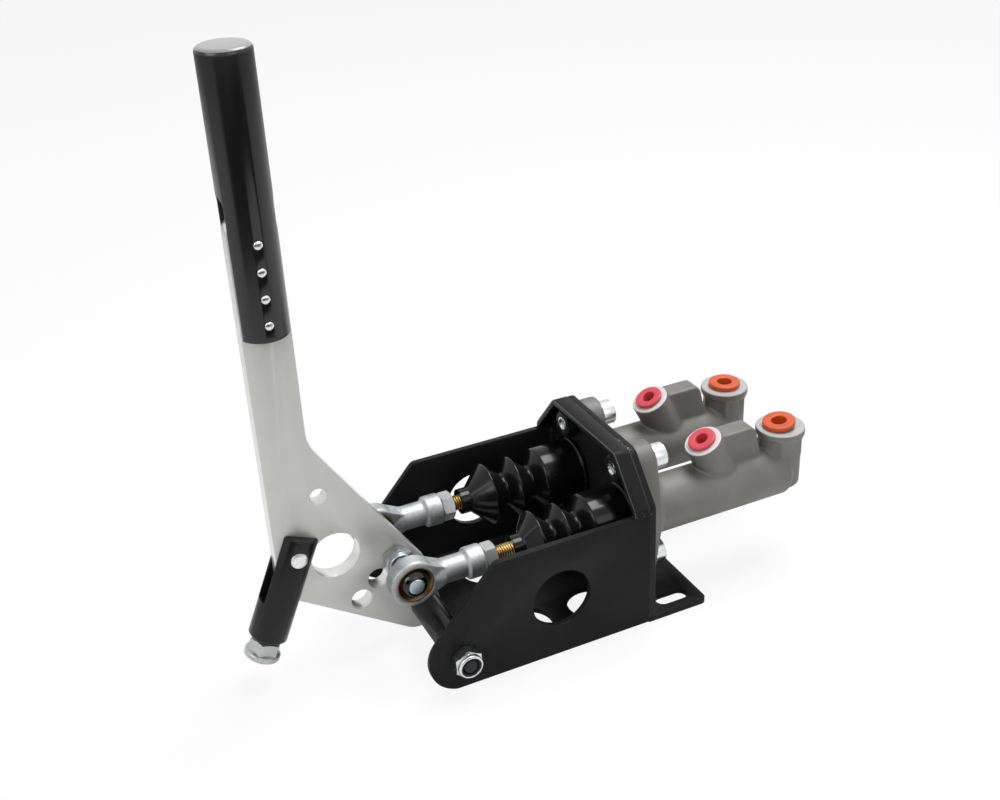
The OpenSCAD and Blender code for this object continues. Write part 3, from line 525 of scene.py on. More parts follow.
def spun(rows, origin, axis, up=(0.0, 0.0, 1.0), columns=96):
    """Rows spun about an axis: x, y = r (cos t, sin t), where r is the lesser of shape and cap."""
    rows = np.asarray(rows, float)
    turn = np.linspace(0, 2 * np.pi, columns, endpoint=False)[None, :]
    r, h, share, cap = (rows[:, i][:, None] for i in range(4))
    radius = np.minimum(r * (1 - share + share * hexagon_factor(turn)), cap)
    local = np.stack([radius * np.cos(turn), radius * np.sin(turn), h + 0 * turn], -1)
    ring = rows[0, 0] > 0 and rows[-1, 0] > 0
    return placed(local.reshape(-1, 3), origin, axis, up), grid_faces(len(rows), columns, ring)


def eased(corners, steps=5):
    """Polyline through [u, v, radius] with each corner rounded by an arc of that radius."""
    corners = np.asarray(corners, float)
    out = []
    for i, (u, v, r) in enumerate(corners):
        b = np.array([u, v])
        if r <= 0 or i in (0, len(corners) - 1):
            out.append(b[None, :])
            continue
        d = [corners[i + k, :2] - b for k in (-1, 1)]
        d = [e / np.linalg.norm(e) for e in d]
        half = np.arccos(np.clip(np.dot(*d), -1, 1)) / 2
        mid = b + (d[0] + d[1]) / np.linalg.norm(d[0] + d[1]) * r / np.sin(half)
        ends = [b + e * r / np.tan(half) - mid for e in d]
        s = np.linspace(0, 1, steps + 1)[:, None]
        sweep = np.pi - 2 * half
        arc = (np.sin((1 - s) * sweep) * ends[0] + np.sin(s * sweep) * ends[1]) / np.sin(sweep)
        out.append(mid + arc)
    return np.concatenate(out)


def joined(*surfaces):
    """Several (points, faces) as one."""
    starts = np.cumsum([0] + [len(points) for points, faces in surfaces[:-1]])
    points = np.concatenate([points for points, faces in surfaces])
    return points, np.concatenate([faces + start for (_, faces), start in zip(surfaces, starts)])


def linked(name, data):
    """New object in the scene with the given data."""
    obj = bpy.data.objects.new(name, data)
    bpy.context.scene.collection.objects.link(obj)
    return obj


def dress(obj, material, body, nodes, crease):
    """Merges doubles, turns faces outwards, shades, and rides the piece on its body."""
    work = bmesh.new()
    work.from_mesh(obj.data)
    bmesh.ops.remove_doubles(work, verts=work.verts, dist=1e-7)
    bmesh.ops.dissolve_degenerate(work, edges=work.edges, dist=1e-8)
    bmesh.ops.recalc_face_normals(work, faces=work.faces)
    work.to_mesh(obj.data)
    work.free()
    obj.data.shade_smooth()
    obj.data.set_sharp_from_angle(angle=math.radians(crease))
    obj.data.materials.clear()
    obj.data.materials.append(material)
    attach(obj, body)
    if nodes:
        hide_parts(*nodes)
    print(obj.name, len(obj.data.polygons), "faces on", body)
    return obj


def piece(name, surface, material, body, slot, *nodes, crease=35):
    """A new object from (points in mm, faces), standing for the named CAD nodes."""
    points, faces = surface
    mesh = bpy.data.meshes.new(name)
    mesh.from_pydata((points * MM).tolist(), [], faces.tolist())
    return dress(linked(name, mesh), material, body, nodes, crease)


# %% [markdown]
# ## Nuts, threads and screws
# A thread is a radius that falls and rises once per pitch while it winds round, so it is one more
# height field on a cylinder. At its ends a cone caps it: the chamfer that lets a nut start.

# %% Fastener shapes
PITCH, THREAD_R, THREAD_DEPTH, THREAD_CUT = 1.25, 4.0, 0.7, 0.9
BORE, BORE_CUT = 4.1, 0.5
CROWN_WALL, RING_INSET = 1.1, 1.45


def thread(length, columns=60):
    """Height field r = R - depth * wave(h / pitch - t / 2 pi), capped by cones at the ends."""
    count = int(length / PITCH * 12) + 2
    h = np.concatenate([[0], np.linspace(0, length, count), [length]])[:, None]
    t = np.linspace(0, 2 * np.pi, columns, endpoint=False)[None, :]
    phase = (h / PITCH - t / (2 * np.pi)) % 1
    wave = np.clip(np.abs(2 * phase - 1) * 1.3 - 0.15, 0, 1)
    cone = THREAD_R - THREAD_CUT + np.minimum(h, length - h)
    radius = np.minimum(THREAD_R - THREAD_DEPTH * wave, cone)
    radius[[0, -1]] = 0
    local = np.stack([radius * np.cos(t), radius * np.sin(t), h + 0 * t], -1)
    return local.reshape(-1, 3), grid_faces(count + 2, columns, False)


def carried(surface, origin, axis, up=(0.0, 0.0, 1.0)):
    """A local surface taken to its place."""
    return placed(surface[0], origin, axis, up), surface[1]


def hex_rows(flats, low, high, cut_low=True, cut_high=True):
    """Hexagon between two heights; 30 degree cones from just inside the flats cut its corners."""
    inner = 0.96 * flats / 2
    rise = (flats / 2 / math.cos(math.pi / 6) - inner) * math.tan(math.radians(30))
    s = np.linspace(0, 1, 7)

    def coned(h, depth):
        return np.column_stack([0 * s + flats / 2, h, 0 * s + 1, inner + depth * math.sqrt(3)])

    first, last = rows_of([flats / 2, low], 1), rows_of([flats / 2, high], 1)
    if cut_low:
        h = low + s * rise
        first = coned(h, h - low)
    if cut_high:
        h = high - s[::-1] * rise
        last = coned(h, high - h)
    return np.concatenate([first, last])


def solid(rows):
    """Rows closed by a point on the axis at both ends."""
    return np.concatenate([rows_of([0, rows[0, 1]]), rows, rows_of([0, rows[-1, 1]])])


def plain_nut(flats, height):
    """Hexagon nut with a chamfered bore."""
    edge = BORE + BORE_CUT
    return np.concatenate(
        [
            rows_of([[BORE, BORE_CUT], [edge, 0]]),
            hex_rows(flats, 0, height),
            rows_of([[edge, height], [BORE, height - BORE_CUT]]),
        ]
    )


def lock_nut(flats, height, crown):
    """Hexagon nut whose round crown is rolled over a nylon ring."""
    top = height + crown
    ring = flats / 2 - 0.3
    hollow = ring - CROWN_WALL
    rolled = [[ring, height - 0.3, 0], [ring, top, 1.0], [hollow, top, 0.4], [hollow, height, 0]]
    return np.concatenate(
        [
            rows_of([[BORE, BORE_CUT], [BORE + BORE_CUT, 0]]),
            hex_rows(flats, 0, height - 0.4),
            rows_of(eased(rolled)),
            rows_of([BORE, height]),
        ]
    )


def nylon_ring(flats, height, crown):
    """Ring with a rounded top, inside a lock nut's crown."""
    out, top = flats / 2 - RING_INSET, height + crown - 0.6
    start = [BORE, height, 0]
    profile = [start, [out, height, 0], [out, top, 0.3], [BORE, top, 0.5], start]
    return rows_of(eased(profile))[:-1]


print("a lock nut has", len(lock_nut(13, 6.5, 2)), "rows")

# %% [markdown]
# ## The pivot
# An M8 bolt crosses the bracket, with a nylon ring nut on the near side. Two black tubes on it
# keep the lever in the middle, and the lever turns on a bronze bush between them.

# %% Pivot pieces
NUT_COLUMNS = 144
NUT_H, NUT_AF, _ = 2 * half("jam_nut_left")
CROWN = 2 * half("pivot_nut")[1] - NUT_H
LOCK_ROWS = lock_nut(NUT_AF, NUT_H, CROWN)
RING_ROWS = nylon_ring(NUT_AF, NUT_H, CROWN)
near_wall = [PIVOT[0], -HALF_W, PIVOT[2]]
nut = spun(LOCK_ROWS, near_wall, -Y, X, NUT_COLUMNS)
piece("pivot_nut_zinc", nut, zinc, "bracket", "zinc_steel", "pivot_nut")
ring = spun(RING_ROWS, near_wall, -Y)
piece("pivot_nut_ring", ring, nylon, "bracket", "nylon", "pivot_nut_insert")

low, high = span("pivot_bolt")
head_h = high[1] - HALF_W
shank = thread(high[1] - head_h - low[1] + 0.2)
shank = carried(shank, [PIVOT[0], low[1], PIVOT[2]], Y)
head = solid(hex_rows(NUT_AF, 0, head_h, cut_low=False))
head = spun(head, [PIVOT[0], HALF_W, PIVOT[2]], Y, X, NUT_COLUMNS)
bolt = joined(shank, head)
piece("pivot_bolt_black", bolt, black_steel, "bracket", "dark_steel", "pivot_bolt")


def ring_tube(outer, inner, length, soft):
    """Tube whose four edges are rounded."""
    start = [inner, length / 2, 0]
    corners = [[inner, 0, soft], [outer, 0, soft], [outer, length, soft], [inner, length, soft]]
    return rows_of(eased([start, *corners, start]))[:-1]


def on_pivot(node, soft):
    """Tube round the pivot bolt with a CAD node's outer radius and length."""
    rows = ring_tube(half(node)[2], BORE, 2 * half(node)[1], soft)
    return spun(rows, [PIVOT[0], span(node)[0][1], PIVOT[2]], Y)


for side in SIDES:
    node = "pivot_sleeve_" + side
    piece("pivot_tube_" + side, on_pivot(node, 0.5), tube_black, "bracket", "dark_steel", node)
bush = on_pivot("pivot_bush", 0.3)
piece("pivot_bush_bronze", bush, bronze, "bracket", "bronze", "pivot_bush")

# %% [markdown]
# ## The link stud
# A stud through the lever carries both rod ends. Lock nuts clamp it to the lever's faces, and its
# turned ends stand a little proud of the balls.

# %% Stud and its nuts
PAST_NUT, LAP = 4.5, 0.6
stud_r, tip = half("link_stud")[2], span("link_stud")[1][1]
shoulder = span("stud_nuts")[1][1] + PAST_NUT
start = shoulder - LAP
end = rows_of(eased([[0, start, 0], [stud_r, start, 0], [stud_r, tip, 0.7], [0, tip, 0]]))
stud = [carried(thread(2 * shoulder), [LINK[0], -shoulder, LINK[2]], Y)]
nuts, rings = [], []
for way in SIDES.values():
    seat = [LINK[0], way * LEVER_HALF, LINK[2]]
    stud.append(spun(end, [LINK[0], 0, LINK[2]], Y * way, X))
    nuts.append(spun(LOCK_ROWS, seat, Y * way, X, NUT_COLUMNS))
    rings.append(spun(RING_ROWS, seat, Y * way))
piece("link_stud_steel", joined(*stud), stud_zinc, "lever", "stud_steel", "link_stud")
piece("stud_nuts_zinc", joined(*nuts), shaded_nut_zinc, "lever", "zinc_steel", "stud_nuts")
piece("stud_nut_rings", joined(*rings), nylon, "lever", "nylon", "stud_nut_inserts")

# %% [markdown]
# ## Rod ends and push rods
# The rod end is a forging: a ring that flows into a round shank. A voxel remesh of the solid,
# smoothed a few times, gives that flow, and its bore is then set back to an exact cylinder. The
# ball and its race stay turned shapes.

# %% Forgings and castings from the solids


def copied(name, node):
    """Object with a copy of a CAD node's mesh, and the copy opened for work, corners merged."""
    obj = linked(name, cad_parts[node].data.copy())
    work = bmesh.new()
    work.from_mesh(obj.data)
    bmesh.ops.remove_doubles(work, verts=work.verts, dist=2e-6)
    return obj, work


def flowed(name, node, voxel, rounds, material, body, mend, extra):
    """Voxel copy of a solid and an extra surface, smoothed so that corners flow into each other."""
    obj, work = copied(name, node)
    corners = [work.verts.new(point) for point in (extra[0] * MM).tolist()]
    for face in extra[1]:
        work.faces.new([corners[i] for i in face])
    bmesh.ops.recalc_face_normals(work, faces=work.faces)
    work.to_mesh(obj.data)
    work.free()
    remesh = obj.modifiers.new("voxels", "REMESH")
    remesh.mode, remesh.voxel_size = "VOXEL", voxel * MM
    smooth = obj.modifiers.new("flow", "SMOOTH")
    smooth.factor, smooth.iterations = 0.5, rounds
    done = obj.evaluated_get(bpy.context.evaluated_depsgraph_get())
    obj.data = bpy.data.meshes.new_from_object(done)
    obj.modifiers.clear()
    points = np.empty(len(obj.data.vertices) * 3)
    obj.data.vertices.foreach_get("co", points)
    points = mend(points.reshape(-1, 3) / MM)
    obj.data.vertices.foreach_set("co", (points * MM).ravel())
    return dress(obj, material, body, [node], 60)


def bored(points, origin, axis, radius, reach, low, high):
    """Points within reach of an axis, between two heights, are set on a cylinder of a radius."""
    axis = np.asarray(axis, float)
    along = (points - origin) @ axis
    out = points - origin - along[:, None] * axis
    r = np.linalg.norm(out, axis=1)
    near = (r < reach) & (along > low) & (along < high)
    scale = np.where(near, radius / np.maximum(r, 1e-6), 1.0)
    return origin + along[:, None] * axis + out * scale[:, None]


def wedge(outline, centre, reach):
    """Outline of [x, z] points about a centre, carried across from y = -reach to y = reach."""
    outline = np.asarray(outline, float)
    n = len(outline)
    flat = np.column_stack([outline[:, 0], 0 * outline[:, 0], outline[:, 1]])
    points = np.concatenate([flat - reach * Y, flat + reach * Y]) + centre
    i = np.arange(n)
    sides = np.column_stack([i, (i + 1) % n, (i + 1) % n + n, i + n])
    return points, [list(range(n)), list(range(2 * n - 1, n - 1, -1))] + sides.tolist()


def ball_arc(radius, top, count):
    """Points [radius, height] on a ball, between heights -top and top."""
    angle = math.asin(top / radius)
    t = np.linspace(-angle, angle, count)
    return np.column_stack([radius * np.cos(t), radius * np.sin(t)])


FORGING_VOXEL, FORGING_ROUNDS = 0.34, 9
NECK = [[5.0, 10.2], [16.0, 4.6], [16.0, -4.6], [5.0, -10.2], [8.9, -4.6], [9.9, 0], [8.9, 4.6]]
NECK_HALF = 4.4
CUP_GAP, RACE_LIP, RACE_RECESS = 0.05, 0.7, 1.5
ROD_R, ROD_TIP_L, THREAD_IN_BOOT = 3.9, 7.0, 9.0

# %% Rod ends and push rods
for side in SIDES:
    body = "pushrod_" + side
    eye = np.array([LINK[0], CYLINDER[side][1], LINK[2]])
    _, race_half, race_r = half("rod_end_race_" + side)
    _, ball_half, ball_r = half("rod_end_ball_" + side)

    def clean_bore(points, eye=eye, race_r=race_r):
        return bored(points, eye, Y, race_r + 0.06, race_r + 0.55, -12, 12)

    neck = wedge(NECK, eye, NECK_HALF)
    flowed(
        "rod_end_forging_" + side, "rod_end_" + side, FORGING_VOXEL, FORGING_ROUNDS,
        forged, body, clean_bore, neck,
    )
    ball = ball_arc(ball_r, ball_half, 33)
    ball = np.concatenate([[[BORE, -ball_half]], ball, [[BORE, ball_half]]])
    ball = spun(rows_of(ball), eye, Y)
    node = "rod_end_ball_" + side
    piece("rod_end_ball_chrome_" + side, ball, shaded_chrome, "lever", "ball_chrome", node)
    cup_half = race_half - RACE_RECESS
    cup = ball_arc(ball_r + CUP_GAP, cup_half, 25)
    rim = [[cup[-1, 0], cup_half], [race_r - RACE_LIP, race_half], [race_r, race_half]]
    rim = np.array(rim + [[r, -h] for r, h in rim[::-1]])
    race = spun(rows_of(np.concatenate([cup[:-1], rim[:-1]])), eye, Y)
    node = "rod_end_race_" + side
    piece("rod_end_race_bronze_" + side, race, bronze, body, "bronze", node)
    seat = [span("jam_nut_" + side)[0][0], eye[1], eye[2]]
    nut = spun(plain_nut(NUT_AF, NUT_H), seat, X, Z, NUT_COLUMNS)
    piece("jam_nut_zinc_" + side, nut, dull_zinc, body, "rod_end_steel", "jam_nut_" + side)
    low, high = span("pushrod_" + side)
    tip_r, tip_from = half("pushrod_" + side)[2], high[0] - ROD_TIP_L
    thread_l = span("boot_" + side)[0][0] + THREAD_IN_BOOT - low[0]
    rod = carried(thread(thread_l), [low[0], eye[1], eye[2]], X)
    start, end = low[0] + thread_l - 1, high[0]
    plain = [[0, start, 0], [ROD_R, start, 0.3], [ROD_R, tip_from, 0.6], [tip_r, tip_from, 0.5]]
    plain += [[tip_r, tip_from + ROD_TIP_L / 2, 0.8], [tip_r / 2, end, 0.8], [0, end, 0]]
    rod = joined(rod, spun(rows_of(eased(plain)), [0, eye[1], eye[2]], X))
    piece("pushrod_yellow_" + side, rod, yellow, body, "yellow_zinc", "pushrod_" + side)

# %% [markdown]
# ## The cylinders
# A master cylinder is one casting: a barrel, a two-bolt flange, a leaning outlet boss, a rib and an
# inlet pillar with a hexagon under its collar. The same remesh gives the fillets that a casting has
# where these meet. The turned port faces are crisp rings set into it, and plugs close the ports.
# The near orange plug has been knocked a little out of true.

# %% Port shapes
BORE_R, BORE_L = 9.525, 91
CASTING_VOXEL, CASTING_ROUNDS = 0.62, 12
OUTLET_LEAN = math.radians(27)
OUTLET_AXIS = np.array([-math.sin(OUTLET_LEAN), 0, math.cos(OUTLET_LEAN)])
OUTLET_X, OUTLET_REACH = 86.9, 32.6
HEX_FLATS, HEX_TOP, HEX_LOW = 21.6, 3.0, 14.5
FACE_DEPTH, INLET_CLEAR, OUTLET_CLEAR = 0.3, 13.5, 11
INLET_RING, OUTLET_RING = (12.6, 5.7, 2.2), (9.75, 5.1, 2.2)
INLET_PLUG, OUTLET_PLUG = (5.5, 8.5, 2.6), (4.9, 7.25, 2.0)
PLUG_WALL, PLUG_FLOOR, PLUG_END = 1.8, -6.2, -8.0
PLUG_TILT, PLUG_LIFT, PLUG_SHIFT = math.radians(7), 0.9, 0.8


def faced(points, origin, axis, reach, depth):
    """Points near an axis and above a plane, depth under the origin, are set down onto it."""
    axis = np.asarray(axis, float)
    along = (points - origin) @ axis
    out = np.linalg.norm(points - origin - along[:, None] * axis, axis=1)
    over = np.where((out < reach) & (along > -depth), along + depth, 0.0)
    return points - over[:, None] * axis


def port_ring(outer, inner, depth):
    """Turned face: a ring with a small chamfer outside and a countersink at the port."""
    rim = [[outer - 0.35, 0], [outer, -0.35], [outer - 0.25, -depth]]
    return rows_of([[inner, -depth], [inner, -0.8], [inner + 0.8, 0], *rim])


def plug_rows(stem, flange, brim):
    """Plug with a blind hole: a stem in the port under a flange of height brim."""
    hole = stem - PLUG_WALL
    well = [[0, PLUG_FLOOR, 0], [hole, PLUG_FLOOR, 0.4], [hole + 0.2, brim, 0.6]]
    collar = [[flange, brim, 0.6], [flange, 0.05, 0.5], [stem, 0.05, 0]]
    return rows_of(eased([*well, *collar, [stem, PLUG_END, 0.6], [0, PLUG_END, 0]]))


# %% Castings, port faces and plugs
for side in SIDES:
    axis_at = AXIS[side]
    start = span("master_cylinder_" + side)[0][0]
    plug_top = span("inlet_plug_" + side)[1][2]
    inlet_x = middle("inlet_plug_" + side)[0]
    inlet = np.array([inlet_x, axis_at[1], plug_top - INLET_PLUG[2]])
    outlet = np.array([OUTLET_X, axis_at[1], axis_at[2]]) + OUTLET_REACH * OUTLET_AXIS

    def clean_barrel(points, axis_at=axis_at, start=start, inlet=inlet, outlet=outlet):
        points = bored(points, axis_at, X, BORE_R + 0.05, BORE_R + 0.6, start - 1, start + BORE_L)
        points = faced(points, inlet, Z, INLET_CLEAR, FACE_DEPTH)
        return faced(points, outlet, OUTLET_AXIS, OUTLET_CLEAR, FACE_DEPTH)

    hexagon = rows_of([[HEX_FLATS / 2, -HEX_LOW], [HEX_FLATS / 2, -HEX_TOP]], 1)
    hexagon = spun(solid(hexagon), inlet, Z, Y)
    flowed(
        "cylinder_casting_" + side, "master_cylinder_" + side, CASTING_VOXEL, CASTING_ROUNDS,
        casting, "bracket", clean_barrel, hexagon,
    )
    ring = spun(port_ring(*INLET_RING), inlet, Z, X)
    piece("inlet_face_" + side, ring, inlet_turned_shaded, "bracket", "cast_aluminium")
    ring = spun(port_ring(*OUTLET_RING), outlet, OUTLET_AXIS, Y)
    piece("outlet_face_" + side, ring, outlet_turned_lit, "bracket", "cast_aluminium")

    at, way = inlet, Z
    if side == "right":
        way = np.array([-math.sin(PLUG_TILT), 0, math.cos(PLUG_TILT)])
        at = inlet + way * PLUG_LIFT - PLUG_SHIFT * X
    plug = spun(plug_rows(*INLET_PLUG), at, way, Y)
    piece("inlet_plug_cap_" + side, plug, orange, "bracket", "inlet_plug", "inlet_plug_" + side)
    plug = spun(plug_rows(*OUTLET_PLUG), outlet, OUTLET_AXIS, Y)
    piece("outlet_plug_cap_" + side, plug, red, "bracket", "outlet_plug", "outlet_plug_" + side)

# %% [markdown]
# ## Screws through the flange
# Four socket head screws hold the cylinders, from behind into nuts welded on the plate's front.

# %% Cap screws and weld nuts
FLANGE_SPACING = 57.15
HEAD_R, HEAD_H = NUT_AF / 2, 8.0
SOCKET_R, SOCKET_RIM, SOCKET_L = 3.0, 3.9, 4.2
seat_x = span("cylinder_bolts")[1][0] - HEAD_H
nut_x = span("weld_nuts")[0][0]
rim = [[3.6, 0, 0], [HEAD_R, 0, 0.3], [HEAD_R, HEAD_H, 0.7], [SOCKET_RIM, HEAD_H, 0]]
head = np.concatenate(
    [
        rows_of([0, 0]),
        rows_of(eased(rim)),
        rows_of([[SOCKET_R, HEAD_H - 0.35], [SOCKET_R, HEAD_H - SOCKET_L]], 1),
        rows_of([0, HEAD_H - 5.0]),
    ]
)
tip = [[0, 1.4], [2.5, 0.9], [2.9, 0.0], [3.95, 0.0], [BORE, 0.3], [BORE, 2.5], [0, 2.5]]
shank = thread(seat_x - nut_x + 0.5)
screws, nuts = [], []
for way in SIDES.values():
    for up in (-1, 1):
        height = CYLINDER["left"][2] + up * FLANGE_SPACING / 2
        at = np.array([0, way * CYLINDER["left"][1], height])
        screws.append(spun(head, at + seat_x * X, X, Z, 120))
        screws.append(carried(shank, at + (nut_x + 1.2) * X, X))
        screws.append(spun(rows_of(tip), at + (nut_x - 0.1) * X, X, Z, 72))
        nuts.append(spun(plain_nut(NUT_AF, NUT_H), at + nut_x * X, X, Z, 120))
piece("cap_screws_zinc", joined(*screws), zinc, "bracket", "zinc_steel", "cylinder_bolts")
piece("weld_nuts_black", joined(*nuts), coat, "bracket", "bracket_paint", "weld_nuts")

# %% [markdown]
# ## Boots
# A boot is a rubber bellows that is turned in section but thin: two folds with eased crests, a
# barrel over the cylinder's spigot and a bead against the plate. Its profile is rounded at every
# corner, drawn again further in for the wall, and spun. The near boot sits pushed up a little.

# %% Boots
BOOT_WALL, NOSE_R, NOSE_BORE, NOSE_L = 1.6, 6.6, 5.5, 5
FOLD_R, WAIST_R, FOLD_PITCH, LAST_FOLD = 16.5, 8.0, 14.7, 22.5
BEAD_STEP, PUSHED_SHARE = 0.9, 0.16
for side, pushed in (("left", 0.0), ("right", 5.0)):
    low = span("boot_" + side)[0] + pushed * X
    last = PLATE_FRONT - LAST_FOLD
    pitch = FOLD_PITCH - pushed * PUSHED_SHARE
    first = last - 2 * pitch
    foot_r = half("boot_" + side)[2]
    barrel = foot_r - BEAD_STEP
    profile = [
        [NOSE_R, low[0], 0],
        [NOSE_R, low[0] + NOSE_L, 1.5],
        [FOLD_R, first, 0.9],
        [WAIST_R, first + 0.62 * pitch, 1.4],
        [FOLD_R, first + pitch, 0.9],
        [WAIST_R, first + 1.62 * pitch, 1.4],
        [barrel, last - 0.4, 1.8],
        [barrel, PLATE_FRONT - 2.5, 0.5],
        [foot_r, PLATE_FRONT - 2.3, 0.7],
        [foot_r, PLATE_FRONT, 0],
    ]
    outer = eased(profile, 6)
    inner = [[max(u - BOOT_WALL, NOSE_BORE), v, r] for u, v, r in profile[:7]]
    inner = eased(inner + [[barrel - BOOT_WALL, PLATE_FRONT, 0]], 6)[::-1]
    rows = rows_of(np.concatenate([outer, inner]))
    boot = spun(rows, AXIS[side], X, Z, 128)
    name, node = "boot_bellows_" + side, "boot_" + side
    boot = piece(name, boot, rubber, "bracket", "boot_rubber", node, crease=70)
    anchor = tuple((AXIS[side] + PLATE_FRONT * X) * MM)
    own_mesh(boot)

# %% [markdown]
# ## Sheet and plate
# The bracket, the strap, the lever, the grip and the stop tube are right as solids, but real edges
# are never dead sharp: a thin light line along them is what makes them read as metal. A merged copy
# of each solid gets a narrow bevel on its sharp edges. The grip's slot was deburred by hand, so its
# rims get a wider chamfer.

# %% Edge-softened copies


def softened(name, node, width, material, body, edge=None, cut=None, broad=None):
    """Copy of a solid, with flat triangles joined and sharp edges bevelled.

    edge is the finish of the bevels, and cut that of faces that don't look along Y. broad =
    (inside, width) first gives the sharp edges where inside(points) holds a wider chamfer.
    """
    obj, work = copied(name, node)
    mesh = obj.data
    flat = math.radians(0.6)
    bmesh.ops.dissolve_limit(work, angle_limit=flat, verts=work.verts, edges=work.edges)
    if broad:
        inside, chamfer = broad
        ends = np.array([[corner.co for corner in line.verts] for line in work.edges]) / MM
        turn = np.array([line.calc_face_angle(0.0) for line in work.edges])
        chosen = inside(ends).all(axis=1) & (turn > math.radians(30))
        lines = [line for line, take in zip(work.edges, chosen) if take]
        shape = {"offset": chamfer * MM, "segments": 2, "profile": 0.5, "affect": "EDGES"}
        bmesh.ops.bevel(work, geom=lines, **shape)
        print(name, "has", len(lines), "broad edges")
    work.to_mesh(mesh)
    work.free()
    dress(obj, material, body, [node], 180)
    bevel = obj.modifiers.new("edges", "BEVEL")
    bevel.width, bevel.segments = width * MM, 2
    bevel.limit_method, bevel.angle_limit = "ANGLE", math.radians(30)
    bevel.harden_normals = True
    if edge:
        mesh.materials.append(edge)
        bevel.material = 1
    if cut:
        mesh.materials.append(cut)
        normals = np.empty(len(mesh.polygons) * 3)
        mesh.polygons.foreach_get("normal", normals)
        rim = np.abs(normals.reshape(-1, 3)[:, 1]) < 0.5
        mesh.polygons.foreach_set("material_index", rim.astype(np.int32))
    return obj


# Bracket bevels: outer edges painted lighter, wear and a painted highlight.
softened("bracket_channel", "base_channel", 0.35, coat, "bracket", lit_coat_edge)
softened("bracket_plate", "end_plate", 0.45, coat, "bracket", lit_coat_edge)
softened("bracket_strap", "end_strap", 0.4, coat, "bracket", lit_coat_edge)
softened("lever_blank", "lever_plate", 0.35, plate, "lever", cut=cut_edge)
SLOT_FROM = span("grip")[0][2]
SLOT_L, SLOT_CHAMFER = 64.5, 0.9


def on_slot(points):
    """True on the rims where the grip's slot leaves the bar, above its lower end."""
    away = np.abs(points[..., 0] - GRIP_MID[0]) > 8
    return away & (points[..., 2] > SLOT_FROM + 1) & (points[..., 2] < SLOT_FROM + SLOT_L)


rims = on_slot, SLOT_CHAMFER
softened("grip_bar", "grip", 0.3, anodised, "lever", broad=rims)
softened("stop_tube_black", "stop_tube", 0.3, tube_black, "lever")

# %% [markdown]
# ## Welds
# The strap and the plate are welded to the walls. A bead is a round profile carried along the
# joint, swelling once per ripple of the torch. Sunk halfway into the corner, only its crust shows.

# %% Weld beads


def bead(start, end, radius, ripple=1.7, swell=0.16, columns=14):
    """Tube on a line: r = R (1 + swell * cos(2 pi s / ripple) + drift), tapered at both ends."""
    path = np.array([start, end], float)
    steps = np.linalg.norm(np.diff(path, axis=0), axis=1)
    s = np.concatenate([[0], np.cumsum(steps)])
    at = np.linspace(0, s[-1], max(int(s[-1] / 0.35), 8))
    centre = np.column_stack([np.interp(at, s, path[:, i]) for i in range(3)])
    ahead = np.gradient(centre, axis=0)
    ahead = ahead / np.linalg.norm(ahead, axis=1)[:, None]
    side = np.cross(ahead, np.where(np.abs(ahead[:, :1]) < 0.9, X, Y))
    side = side / np.linalg.norm(side, axis=1)[:, None]
    up = np.cross(ahead, side)
    drift = 0.10 * np.sin(at * 0.9 + path[0, 1]) + 0.07 * np.sin(at * 2.3 + path[0, 2])
    taper = np.sqrt(np.clip(np.minimum(at, s[-1] - at) / (1.2 * radius), 0, 1))
    r = radius * (1 + swell * np.cos(2 * np.pi * at / ripple) + drift) * taper
    t = np.linspace(0, 2 * np.pi, columns, endpoint=False)
    ring = np.cos(t)[None, :, None] * side[:, None] + np.sin(t)[None, :, None] * up[:, None]
    points = centre[:, None] + r[:, None, None] * ring
    return points.reshape(-1, 3), grid_faces(len(at), columns, False)


FLOOR_TOP = SHEET = 3.0
strap_x, inner_x = STRAP_FRONT - 0.1, PLATE_FRONT - 0.3
shoulder = WALL_TOP + 0.5
seams = []
for way in SIDES.values():
    edge_y = way * HALF_W
    rim_y = edge_y - 1.1 * way
    inner_y = way * (HALF_W - SHEET) + 0.3 * way
    low_end = [PLATE_FRONT, edge_y - 0.75 * way, FLOOR_TOP + 1]
    high_end = [PLATE_FRONT, edge_y - 0.8 * way, WALL_TOP]
    seams += [
        ([STRAP_FRONT + 0.4, rim_y, shoulder], [PLATE_BACK - 1, rim_y, shoulder], 1.8, 3.3, 0.2),
        ([strap_x, edge_y - 2.6 * way, WALL_TOP], [strap_x, edge_y - 0.6 * way, WALL_TOP], 1.1),
        (low_end, high_end, 0.9, 9.0, 0.03),
        ([inner_x, inner_y, FLOOR_TOP + 2], [inner_x, inner_y, WALL_TOP - 1], 1.8, 3.0, 0.05),
    ]
for x, inset in ((inner_x, 6), (PLATE_BACK + 0.2, 2)):
    seams.append(([x, inset - HALF_W, FLOOR_TOP], [x, HALF_W - inset, FLOOR_TOP], 1.7, 2.4))
beads = joined(*(bead(*seam) for seam in seams))
piece("bracket_welds", beads, coat, "bracket", "bracket_paint", crease=60)

# %% [markdown]
# ## Rivets, pin and stop screw
# Four dome-headed rivets hold the grip, a larger one holds the stop tube, and a flanged screw at
# the tube's end sets where the lever rests.

# %% Rivets, pin and screw


def dome_pin(radius, half_length, crown):
    """Pin with domed ends: height = half length + crown * cos of the share of the radius."""
    s = np.linspace(0, np.pi / 2, 9)
    top = np.column_stack([radius * np.sin(s), half_length - 0.25 + (crown + 0.25) * np.cos(s)])
    return rows_of(np.concatenate([top * [1, -1], top[::-1]]))


